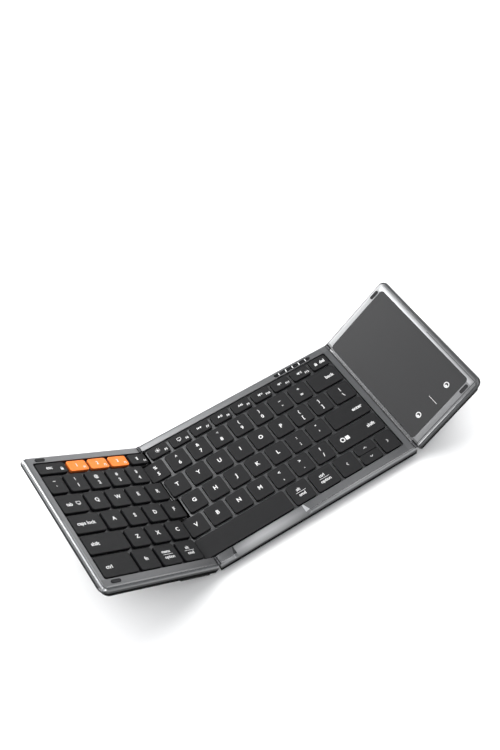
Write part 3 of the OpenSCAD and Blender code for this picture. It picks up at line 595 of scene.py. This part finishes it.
def show(name, mesh, node, finishes, smooth_angle, body=None, slot=None):
    """Puts a finished mesh in the scene, dresses it and lets it ride on its body."""
    piece = bpy.data.objects.new(name, mesh)
    bpy.context.scene.collection.objects.link(piece)
    for finish in finishes:
        mesh.materials.append(finish_named(finish))
    for face in mesh.polygons:
        face.use_smooth = face.area < FLAT_AREA
    mesh.set_sharp_from_angle(angle=math.radians(smooth_angle))
    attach(piece, body or body_of_node[node])
    if body is None:
        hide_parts(node)
    if slot is None:
        slot = next(
            s["material_slot"] for s in frame["record"]["subparts"] if s["node"] == node
        )


def dress(node, finish):
    """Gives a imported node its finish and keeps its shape."""
    mesh = frame["nodes"][node].data
    mesh.materials.clear()
    mesh.materials.append(finish_named(finish))


def bevel(bm, edges, offset, segments, clamp=False):
    """Rounds edges off, in the material of the faces beside them."""
    settings = {"segments": segments, "profile": 0.5, "material": -1, "clamp_overlap": clamp}
    bmesh.ops.bevel(bm, geom=edges, offset=offset, affect="EDGES", **settings)


def solid_copy(node, edge):
    """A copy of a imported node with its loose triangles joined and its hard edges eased."""
    bm = bmesh.new()
    bm.from_mesh(frame["nodes"][node].data)
    bmesh.ops.remove_doubles(bm, verts=bm.verts, dist=MERGE)
    bmesh.ops.dissolve_limit(
        bm, angle_limit=FLAT_ANGLE, verts=bm.verts, edges=bm.edges, delimit=set()
    )
    hard = [
        e
        for e in bm.edges
        if len(e.link_faces) == 2
        and e.calc_face_angle() > HARD_ANGLE
        and e.calc_length() > edge * MM
    ]
    bevel(bm, hard, edge * MM, 2, clamp=True)
    mesh = bpy.data.meshes.new(node + "_dressed")
    bm.to_mesh(mesh)
    bm.free()
    return mesh


def show_copy(node, finish, edge, smooth_angle=25):
    """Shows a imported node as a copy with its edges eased."""
    show(node + "_dressed", solid_copy(node, edge), node, (finish,), smooth_angle)


def at_height(parts, height):
    """The edges or faces that lie flat at a height."""
    return [p for p in parts if all(abs(v.co.z - height) < LEVEL for v in p.verts)]


def add_all(target, source, number=0):
    """Adds one small bmesh to another, with a material number for its faces."""
    for face in source.faces:
        face.material_index = number
    part = bpy.data.meshes.new("part")
    source.to_mesh(part)
    source.free()
    target.from_mesh(part)
    bpy.data.meshes.remove(part)


def finished(bm, name, panel):
    """Turns a bmesh in flat millimetres into a mesh in its place."""
    bmesh.ops.transform(bm, matrix=PLACES[panel], verts=bm.verts)
    mesh = bpy.data.meshes.new(name)
    bm.to_mesh(mesh)
    bm.free()
    return mesh


# ------------------------------------------------------------------ keys and legends


# Key caps: their wall, the depth of their hollow, and the ring that keeps their rims crisp
CAP_WALL, CAP_HOLLOW, CAP_INSET = 0.95, 1.4, 0.15
SORT_WAY = Vector((1, 7.31, 53.93))  # no two parts of a key cap are level along it


def key_cap(low, high):
    """A key cap: rounded corners, a soft rim round the top and a hollow underside."""
    size = sizes()
    radius, bottom, top = size["key_corner"], size["key_skirt"], size["key_top"]
    span = Vector((high[0] - low[0], high[1] - low[1], top - bottom))
    centre = Vector(((low[0] + high[0]) / 2, (low[1] + high[1]) / 2, (top + bottom) / 2))
    bm = bmesh.new()
    block = Matrix.Translation(centre) @ Matrix.Diagonal((*span, 1))
    bmesh.ops.create_cube(bm, size=1, matrix=block)
    upright = [e for e in bm.edges if abs(e.verts[0].co.z - e.verts[1].co.z) > LEVEL]
    bevel(bm, upright, radius, 5)
    bevel(bm, at_height(bm.edges, top), size["key_edge"], 3)
    for height in (top, bottom):
        flat = at_height(bm.faces, height)
        bmesh.ops.inset_individual(bm, faces=flat, thickness=min(CAP_INSET, radius / 3))
    under = max(at_height(bm.faces, bottom), key=lambda f: f.calc_area())
    bmesh.ops.inset_individual(bm, faces=[under], thickness=CAP_WALL)
    bmesh.ops.translate(bm, verts=under.verts, vec=(0, 0, CAP_HOLLOW))
    # Bevels leave their parts in an order that changes from run to run
    bm.verts.sort(key=lambda v: v.co.dot(SORT_WAY))
    bm.edges.sort(key=lambda e: (e.verts[0].co + e.verts[1].co).dot(SORT_WAY))
    bm.faces.sort(key=lambda f: f.calc_center_median().dot(SORT_WAY))
    return bm


# Size and boldness of the lettering, in millimetres
LETTER, UPPER, LOWER, DIGIT = (4.5, 0.13), (3.7, 0.1), (4.2, 0.11), (4.0, 0.1)
F_NUMBER, WORD, SMALL_WORD = (2.5, 0.06), (4.1, 0.08), (3.4, 0.07)
LETTER_MERGE = 1e-5  # corners of letters closer than this, in millimetres, are one


def words(text, style, x, y):
    """Flat letters, as a bmesh in millimetres around a point on the key tops."""
    curve = bpy.data.curves.new("words", "FONT")
    curve.body, (curve.size, curve.offset) = text, style
    curve.align_x, curve.align_y = "CENTER", "CENTER"
    curve.extrude, curve.resolution_u = sizes()["ink"], 3
    holder = bpy.data.objects.new("words", curve)
    bpy.context.scene.collection.objects.link(holder)
    bpy.context.view_layer.update()
    mesh = bpy.data.meshes.new_from_object(
        holder.evaluated_get(bpy.context.evaluated_depsgraph_get())
    )
    bpy.data.objects.remove(holder)
    bpy.data.curves.remove(curve)
    bm = bmesh.new()
    bm.from_mesh(mesh)
    bpy.data.meshes.remove(mesh)
    bmesh.ops.remove_doubles(bm, verts=bm.verts, dist=LETTER_MERGE)
    bmesh.ops.translate(bm, verts=bm.verts, vec=(x, y, sizes()["key_top"]))
    return bm


def ink_shape(sides, radius, x, y, turn=0.0, wide=1.0, hole=0.0):
    """A flat regular shape in ink, solid or as a ring."""
    bm = bmesh.new()
    place = (
        Matrix.Translation((x, y, sizes()["key_top"]))
        @ Matrix.Diagonal((wide, 1, 1, 1))
        @ Matrix.Rotation(math.radians(turn), 4, "Z")
    )
    shape = {"segments": sides, "radius1": radius, "radius2": radius, "depth": 2 * sizes()["ink"]}
    bmesh.ops.create_cone(bm, cap_ends=True, cap_tris=False, matrix=place, **shape)
    if hole:
        caps = [f for f in bm.faces if len(f.verts) == sides]
        bmesh.ops.inset_individual(bm, faces=caps, thickness=radius - hole)
        bmesh.ops.bridge_loops(bm, edges=[e for f in caps for e in f.edges])
        bmesh.ops.delete(bm, geom=caps, context="FACES_ONLY")
    return bm


def ink_bar(width, height, x, y, turn=0.0):
    """A flat bar in ink."""
    bm = bmesh.new()
    place = (
        Matrix.Translation((x, y, sizes()["key_top"]))
        @ Matrix.Rotation(math.radians(turn), 4, "Z")
        @ Matrix.Diagonal((width, height, 2 * sizes()["ink"], 1))
    )
    bmesh.ops.create_cube(bm, size=1, matrix=place)
    return bm


def speaker(x, y, waves):
    """A speaker with sound waves, or with a cross when there are none."""
    shapes = [
        ink_bar(0.8, 1.0, x - 1.0, y),
        ink_shape(3, 1.1, x - 0.35, y, 180, 0.9),
    ]
    for i in range(waves):
        shapes.append(ink_bar(0.28, 1.2 + 0.8 * i, x + 0.85 + 0.75 * i, y))
    if not waves:
        shapes += [ink_bar(1.5, 0.28, x + 1.1, y, 45), ink_bar(1.5, 0.28, x + 1.1, y, -45)]
    return shapes


def pointers(x, y, turn, bar):
    """Two triangles that point left or right, with a bar at their tip."""
    side = 1 if turn == 0 else -1
    return [
        ink_shape(3, 0.85, x - 0.7, y, turn),
        ink_shape(3, 0.85, x + 0.6, y, turn),
        ink_bar(0.3, 1.5, x + side * bar, y),
    ]


def chevron(x, y, dx, dy, turn):
    """Two bars that meet in a point, one on each side of the middle."""
    size = (1.25, 0.34)
    return [ink_bar(*size, x - dx, y - dy, turn), ink_bar(*size, x + dx, y + dy, -turn)]


ICONS = {
    "home": lambda x, y: [ink_shape(3, 1.0, x, y + 0.55, 90, 1.2), ink_bar(1.2, 1.0, x, y - 0.5)],
    "sun": lambda x, y: [ink_shape(16, 0.62, x, y)]
    + [
        ink_bar(0.6, 0.26, x + 1.2 * math.cos(a), y + 1.2 * math.sin(a), math.degrees(a))
        for a in (i * math.pi / 4 for i in range(8))
    ],
    "screen": lambda x, y: [ink_bar(2.6, 0.3, x, y + v) for v in (-0.8, 0.8)]
    + [ink_bar(0.3, 1.9, x + v, y) for v in (-1.15, 1.15)]
    + [ink_bar(1.3, 0.3, x, y - 1.35)],
    "back": lambda x, y: pointers(x, y, 180, 1.6),
    "play": lambda x, y: [
        ink_shape(3, 0.95, x - 0.7, y, 0),
        ink_bar(0.34, 1.6, x + 0.6, y),
        ink_bar(0.34, 1.6, x + 1.3, y),
    ],
    "next": lambda x, y: pointers(x, y, 0, 1.5),
    "mute": lambda x, y: speaker(x, y, 0),
    "quiet": lambda x, y: speaker(x, y, 1),
    "loud": lambda x, y: speaker(x, y, 2),
    "lock": lambda x, y: [
        ink_bar(1.7, 1.25, x, y - 0.4),
        ink_shape(12, 0.7, x, y + 0.35, hole=0.4),
    ],
    "up": lambda x, y: chevron(x, y, 0.4, 0, 40),
    "down": lambda x, y: chevron(x, y, 0.4, 0, -40),
    "left": lambda x, y: chevron(x, y, 0, -0.4, 50),
    "right": lambda x, y: chevron(x, y, 0, -0.4, -50),
    "ring": lambda x, y: [ink_shape(24, 1.5, x, y, hole=0.95)],
    "square": lambda x, y: [ink_shape(4, 1.7, x, y, 45)],
}


def middle_of(low, high):
    """The middle of a key."""
    return (low.x + high.x) / 2, (low.y + high.y) / 2


def share_of(low, high, x, y):
    """The place at a share of a key's width and depth."""
    return low.x + (high.x - low.x) * x, low.y + (high.y - low.y) * y


def letter(text):
    """One large letter."""

    def draw(low, high):
        x, y = middle_of(low, high)
        return [words(text, LETTER, x, y + 0.3)]

    return draw


def pair(upper, lower):
    """Two signs, one above the other."""

    def draw(low, high):
        x, y = middle_of(low, high)
        return [words(upper, UPPER, x, y + 3.0), words(lower, LOWER, x, y - 2.8)]

    return draw


def grown(shapes, x, y, by):
    """The same shapes, larger around a place."""
    for shape in shapes:
        centre = Matrix.Translation((-x, -y, 0))
        bmesh.ops.scale(shape, vec=(by, by, 1), space=centre, verts=shape.verts)
    return shapes


def function(sign, number):
    """A function key: an icon or a digit, and its F number in the front right corner."""

    def draw(low, high):
        x, y = middle_of(low, high)
        x, y = x - 0.8, y + 0.3
        if sign in ICONS:
            mark = grown(ICONS[sign](x, y), x, y, 1.3)
        else:
            mark = [words(sign, DIGIT, x, y)]
        return mark + [words(number, F_NUMBER, high.x - 2.8, low.y + 2.7)]

    return draw


def label(text, x=0.5, y=0.5):
    """A word at a share of the key's width and depth."""
    return lambda low, high: [words(text, WORD, *share_of(low, high, x, y))]


def icon(name, x=0.5, y=0.5):
    """An icon at a share of the key's width and depth."""

    def draw(low, high):
        place = share_of(low, high, x, y)
        return grown(ICONS[name](*place), *place, 1.35)

    return draw


def stacked(upper, lower):
    """Two words with a thin line between them."""

    def draw(low, high):
        x, y = middle_of(low, high)
        return [
            words(upper, SMALL_WORD, x - 0.8, y + 2.6),
            words(lower, SMALL_WORD, x, y - 2.3),
            ink_bar(8.6, 0.28, x, y + 0.1),
        ]

    return draw


def both(*draws):
    """All that several legends say."""
    return lambda low, high: [shape for draw in draws for shape in draw(low, high)]


# Each node's panel, its row, the place of its first key and what each of its keys says
LEGENDS = {
    "key_escape": ("left", 0, 4, [both(label("esc", 0.42, 0.55), icon("lock", 0.84, 0.38))]),
    "keys_f1_to_f3": (
        "left",
        0,
        1,
        [function("3", "F3"), function("2", "F2"), function("1", "F1")],
    ),
    "key_f4": ("left", 0, 0, [function("home", "F4")]),
    "keys_grave_to_4": (
        "left",
        1,
        0,
        [pair("$", "4"), pair("#", "3"), pair("@", "2"), pair("!", "1"), pair("~", "`")],
    ),
    "key_tab": ("left", 2, 4, [both(label("tab", 0.36, 0.45), icon("screen", 0.72, 0.5))]),
    "keys_q_to_r": ("left", 2, 0, [letter(c) for c in "REWQ"]),
    "key_caps_lock": ("left", 3, 4, [label("caps lock", 0.46)]),
    "keys_a_to_f": ("left", 3, 0, [letter(c) for c in "FDSA"]),
    "key_left_shift": ("left", 4, 3, [label("shift", 0.24)]),
    "keys_z_to_c": ("left", 4, 0, [letter(c) for c in "CXZ"]),
    "key_left_control": ("left", 5, 3, [label("ctrl", 0.27, 0.45)]),
    "key_function": ("left", 5, 2, [label("fn", 0.5, 0.5)]),
    "key_left_option": ("left", 5, 1, [stacked("menu", "option")]),
    "key_left_alt": ("left", 5, 0, [stacked("alt", "cmd")]),
    "keys_f5_to_f12": (
        "middle",
        0,
        0,
        [
            function(sign, "F%d" % number)
            for number, sign in enumerate("sun screen back play next mute quiet loud".split(), 5)
        ],
    ),
    "key_delete": ("middle", 0, 8, [both(icon("lock", 0.3), label("del", 0.68, 0.5))]),
    "keys_5_to_equals": (
        "middle",
        1,
        0,
        [pair(*c) for c in ("%5", "^6", "&7", "*8", "(9", ")0", "_-", "+=")],
    ),
    "key_backspace": ("middle", 1, 8, [label("back", 0.68, 0.5)]),
    "keys_t_to_backslash": (
        "middle",
        2,
        0,
        [letter(c) for c in "TYUIOP"] + [pair("{", "["), pair("}", "]"), pair("|", "\\")],
    ),
    "keys_g_to_quote": (
        "middle",
        3,
        0,
        [letter(c) for c in "GHJKL"] + [pair(":", ";"), pair('"', "'")],
    ),
    "key_enter": ("middle", 3, 7, [label("enter", 0.75, 0.5)]),
    "keys_v_to_slash": (
        "middle",
        4,
        0,
        [letter(c) for c in "VBNM"] + [pair("<", ","), pair(">", "."), pair("?", "/")],
    ),
    "key_right_shift": (
        "middle",
        4,
        7,
        [both(icon("ring", 0.2), icon("square", 0.3), label("shift", 0.8, 0.5))],
    ),
    "key_space": ("middle", 5, 0, [None]),
    "key_right_alt": ("middle", 5, 1, [stacked("alt", "cmd")]),
    "key_right_control": ("middle", 5, 2, [stacked("ctrl", "option")]),
    "key_arrow_left": ("middle", 5, 3, [icon("left")]),
    "key_arrow_up": ("middle", 5, 4, [icon("up")]),
    "key_arrow_down": ("middle", 5, 4, [icon("down")]),
    "key_arrow_right": ("middle", 5, 5, [icon("right")]),
}
ARROW_GAP = 0.4  # between the two arrow keys that share a place


def make_keys(panel):
    """All keys of one panel, each node's keys in one piece."""
    for node, (side, row, first, draws) in LEGENDS.items():
        if side != panel:
            continue
        bm = bmesh.new()
        for k, draw in enumerate(draws):
            low, high = key_box(panel, row, first + k)
            middle = (low.y + high.y) / 2
            if node == "key_arrow_up":
                low.y = middle + ARROW_GAP / 2
            elif node == "key_arrow_down":
                high.y = middle - ARROW_GAP / 2
            add_all(bm, key_cap(low, high))
            for shape in draw(low, high) if draw else ():
                add_all(bm, shape, 1)
        plastic = "keys_orange" if node == "keys_f1_to_f3" else "keys_" + panel
        show(node + "_dressed", finished(bm, node, panel), node, (plastic, "ink"), 40)


# ------------------------------------------------------------------ operators


# Printed marks of the touchpad, in millimetres from the hinge and the panel's middle
PAD_RINGS, PAD_DIVIDER, PAD_MARKS_Y, PAD_DROP, PAD_INK = (17.8, 49.3), 33.8, -42.15, 0.05, 0.005
# Marks of the indicator window, from the panel's middle and its back edge
LAMPS, LAMPS_INSET, LAMPS_INK = (39.9, 46.6, 52.9, 58.9, 65.2), 4.5, 0.01

# Each softbox: its name, place and size in metres, power in watts, and whether it shines
SOFTBOXES = (
    ("back_left_light", (-0.8, 1.0, 0.6), 0.8, 8.4, True),
    ("back_light", (-0.5, 1.15, 0.5), 0.6, 9.1, True),
    ("high_back_light", (0.05, 0.85, 1.15), 0.4, 3.2, True),
    ("overhead_light", (0.4, -0.2, 1.4), 0.6, 3, True),
    ("left_light", (-1.3, -0.3, 0.5), 0.8, 19, True),
    ("front_light", (0.6, -1.2, 0.9), 0.9, 5.5, True),
    ("right_light", (1.3, 0.7, 0.3), 0.8, 2.5, True),
    ("right_fill", (0.9, 1.0, 1.0), 1.6, 32, False),
    ("left_fill", (-0.9, 1.0, 1.0), 1.6, 32, False),
    ("front_fill", (-0.4, -0.5, 1.5), 1.0, 6, False),
)
LIGHTS_AIM = (0, 0, 0.02)
SUN_POWER, SUN_ANGLE, SUN_WAY = 0.8, 40, (0, -0.5, -0.85)
SKY, SKY_STRENGTH = (0.9, 0.92, 0.95, 1), 0.42

# The camera, its place from the middle of the two hinges
LENS, SENSOR, NEAREST = 52.155, 36, 0.01
CAMERA_PLACE = (-0.2464, -0.36765, 0.7076)
CAMERA_TURN = (
    (0.83732, 0.45151, -0.30828),
    (-0.54631, 0.66923, -0.50366),
    (-0.0211, 0.59014, 0.80702),
)


class KEYBOARD_OT_cases(bpy.types.Operator):
    """Anodised top cases with eased edges"""

    bl_idname = "keyboard.cases"
    bl_label = "Top cases"

    def execute(self, context):
        for panel in PLACES:
            show_copy(panel + "_top_case", "metal_" + panel, edge=0.12, smooth_angle=20)
        return {"FINISHED"}


class KEYBOARD_OT_covers(bpy.types.Operator):
    """Black bottom covers"""

    bl_idname = "keyboard.covers"
    bl_label = "Bottom covers"

    def execute(self, context):
        for panel in PLACES:
            show_copy(panel + "_bottom_cover", "cover", edge=0.1, smooth_angle=20)
        return {"FINISHED"}


class KEYBOARD_OT_left_keys(bpy.types.Operator):
    """Key caps of the left wing with their legends"""

    bl_idname = "keyboard.left_keys"
    bl_label = "Left keys"

    def execute(self, context):
        make_keys("left")
        return {"FINISHED"}


class KEYBOARD_OT_middle_keys(bpy.types.Operator):
    """Key caps of the middle panel with their legends"""

    bl_idname = "keyboard.middle_keys"
    bl_label = "Middle keys"

    def execute(self, context):
        make_keys("middle")
        return {"FINISHED"}


class KEYBOARD_OT_touchpad(bpy.types.Operator):
    """Touchpad with its two ring marks and divider"""

    bl_idname = "keyboard.touchpad"
    bl_label = "Touchpad"

    def execute(self, context):
        show_copy("touchpad", "touchpad", edge=0.25)
        marks = bmesh.new()
        lift = sizes()["rail_height"] - PAD_DROP - sizes()["key_top"] + PAD_INK
        for x in (half_span + ring for ring in PAD_RINGS):
            add_all(marks, ink_shape(36, 2.3, x, PAD_MARKS_Y + 0.2, hole=1.55))
            add_all(marks, ink_bar(1.3, 2.0, x - 0.7, PAD_MARKS_Y - 0.2))
        add_all(marks, ink_bar(0.3, 9.0, half_span + PAD_DIVIDER, PAD_MARKS_Y))
        bmesh.ops.translate(marks, verts=marks.verts, vec=(0, 0, lift))
        mesh = finished(marks, "touchpad_marks", "right")
        show("touchpad_marks", mesh, None, ("ink",), 30, "touchpad_plate", "grey_touchpad")
        return {"FINISHED"}


class KEYBOARD_OT_window(bpy.types.Operator):
    """Indicator window with its five marks"""

    bl_idname = "keyboard.window"
    bl_label = "Indicator window"

    def execute(self, context):
        show_copy("indicator_window", "window", edge=0.08)
        marks = bmesh.new()
        for x in LAMPS:
            add_all(marks, ink_bar(0.6, 2.4, x, sizes()["panel_depth"] / 2 - LAMPS_INSET))
        lift = sizes()["rail_height"] - sizes()["key_top"] + LAMPS_INK
        bmesh.ops.translate(marks, verts=marks.verts, vec=(0, 0, lift))
        mesh = finished(marks, "indicator_marks", "middle")
        show("indicator_marks", mesh, None, ("lamp",), 30, "middle_panel", "black_window")
        return {"FINISHED"}


class KEYBOARD_OT_rubber(bpy.types.Operator):
    """Feet and closing bumpers"""

    bl_idname = "keyboard.rubber"
    bl_label = "Feet and bumpers"

    def execute(self, context):
        for node in ("middle_feet", "left_feet", "right_feet", "left_bumpers", "right_bumpers"):
            show_copy(node, "rubber", edge=0.3 if "feet" in node else 0.15)
        return {"FINISHED"}


class KEYBOARD_OT_metalwork(bpy.types.Operator):
    """Hinges, screws, charging socket and the power switch knob"""

    bl_idname = "keyboard.metalwork"
    bl_label = "Hinges and fittings"

    def execute(self, context):
        leaves = ("middle_hinge_leaves", "left_hinge_leaves", "right_hinge_leaves")
        for node in (*leaves, "hinge_pins"):
            show_copy(node, "hinge", edge=0.06)
        for node in ("middle_screws", "left_screws", "right_screws", "charging_socket"):
            show_copy(node, "steel", edge=0.06)
        show_copy("power_switch_knob", "cover", edge=0.1)
        return {"FINISHED"}


class KEYBOARD_OT_insides(bpy.types.Operator):
    """Finishes of the pieces inside the panels"""

    bl_idname = "keyboard.insides"
    bl_label = "Insides"

    def execute(self, context):
        for node, finish in {
            "middle_key_plate": "steel",
            "left_key_plate": "steel",
            "middle_dome_sheet": "domes",
            "left_dome_sheet": "domes",
            "main_board": "board",
            "touchpad_board": "board",
            "flex_cables": "film",
            "battery": "foil",
        }.items():
            dress(node, finish)
        return {"FINISHED"}


class KEYBOARD_OT_stage(bpy.types.Operator):
    """Floor, lights and camera"""

    bl_idname = "keyboard.stage"
    bl_label = "Stage"

    def execute(self, context):
        self.lay_floor()
        self.light()
        self.set_camera()
        context.scene.view_settings.view_transform = "Standard"
        return {"FINISHED"}

    def lay_floor(self):
        bm = bmesh.new()
        bmesh.ops.create_grid(bm, x_segments=1, y_segments=1, size=3)
        mesh = bpy.data.meshes.new("floor")
        bm.to_mesh(mesh)
        bm.free()
        floor = self.placed("floor", mesh)
        paper = Finish("floor_paper", Specular_IOR_Level=0.2)
        fine = paper.noise(paper.spot(), 0.02, 2, 0.5)
        tint = paint("floor")
        material = paper.feed(
            Base_Color=paper.mix(fine, shade_of(tint, 0.99), shade_of(tint, 1.01)),
            Roughness=0.7 + fine * 0.1,
        )
        mesh.materials.append(material)

    def light(self):
        world = bpy.data.worlds.new("studio")
        world.use_nodes = True
        sky = world.node_tree.nodes["Background"].inputs
        sky[0].default_value, sky[1].default_value = SKY, SKY_STRENGTH
        bpy.context.scene.world = world
        for name, place, size, power, shines in SOFTBOXES:
            light = bpy.data.lights.new(name, "AREA")
            light.shape, light.size, light.energy = "SQUARE", size, power
            box = self.placed(name, light)
            box.location = place
            self.point(box, Vector(LIGHTS_AIM) - Vector(place))
            # A softbox either shines in reflections or fills the shadows
            box.visible_diffuse, box.visible_glossy = not shines, shines
        sun = bpy.data.lights.new("key_light", "SUN")
        sun.energy, sun.angle = SUN_POWER, math.radians(SUN_ANGLE)
        lamp = self.placed("key_light", sun)
        self.point(lamp, Vector(SUN_WAY))
        lamp.visible_glossy = False

    def set_camera(self):
        camera = bpy.data.cameras.new("camera")
        camera.lens, camera.sensor_width, camera.clip_start = LENS, SENSOR, NEAREST
        stand = self.placed("camera", camera)
        place = Vector(CAMERA_PLACE) + to_centre
        stand.matrix_world = Matrix.Translation(place) @ Matrix(CAMERA_TURN).to_4x4()
        bpy.context.scene.camera = stand

    def placed(self, name, data):
        """A new object in the scene."""
        made = bpy.data.objects.new(name, data)
        bpy.context.scene.collection.objects.link(made)
        return made

    def point(self, lamp, way):
        """Turns a light to shine one way."""
        lamp.rotation_euler = way.to_track_quat("-Z", "Y").to_euler()


STEPS = (
    KEYBOARD_OT_stage,
    KEYBOARD_OT_cases,
    KEYBOARD_OT_covers,
    KEYBOARD_OT_left_keys,
    KEYBOARD_OT_middle_keys,
    KEYBOARD_OT_touchpad,
    KEYBOARD_OT_window,
    KEYBOARD_OT_rubber,
    KEYBOARD_OT_metalwork,
    KEYBOARD_OT_insides,
)


class KEYBOARD_PT_panel(bpy.types.Panel):
    bl_label = "Folding keyboard"
    bl_idname = "KEYBOARD_PT_panel"
    bl_space_type = "VIEW_3D"
    bl_region_type = "UI"
    bl_category = "Keyboard"

    def draw(self, context):
        for group in (context.scene.keyboard_sizes, context.scene.keyboard_colours):
            box = self.layout.box()
            for name in type(group).__annotations__:
                box.prop(group, name)
        for step in STEPS:
            self.layout.operator(step.bl_idname)


CLASSES = (KeyboardSizes, KeyboardColours, *STEPS, KEYBOARD_PT_panel)


def register():
    for cls in CLASSES:
        bpy.utils.register_class(cls)
    bpy.types.Scene.keyboard_sizes = bpy.props.PointerProperty(type=KeyboardSizes)
    bpy.types.Scene.keyboard_colours = bpy.props.PointerProperty(type=KeyboardColours)


def unregister():
    del bpy.types.Scene.keyboard_colours
    del bpy.types.Scene.keyboard_sizes
    for cls in reversed(CLASSES):
        bpy.utils.unregister_class(cls)


def main():
    register()
    for step in STEPS:
        area, name = step.bl_idname.split(".")
        getattr(getattr(bpy.ops, area), name)()


if __name__ == "__main__":
    main()
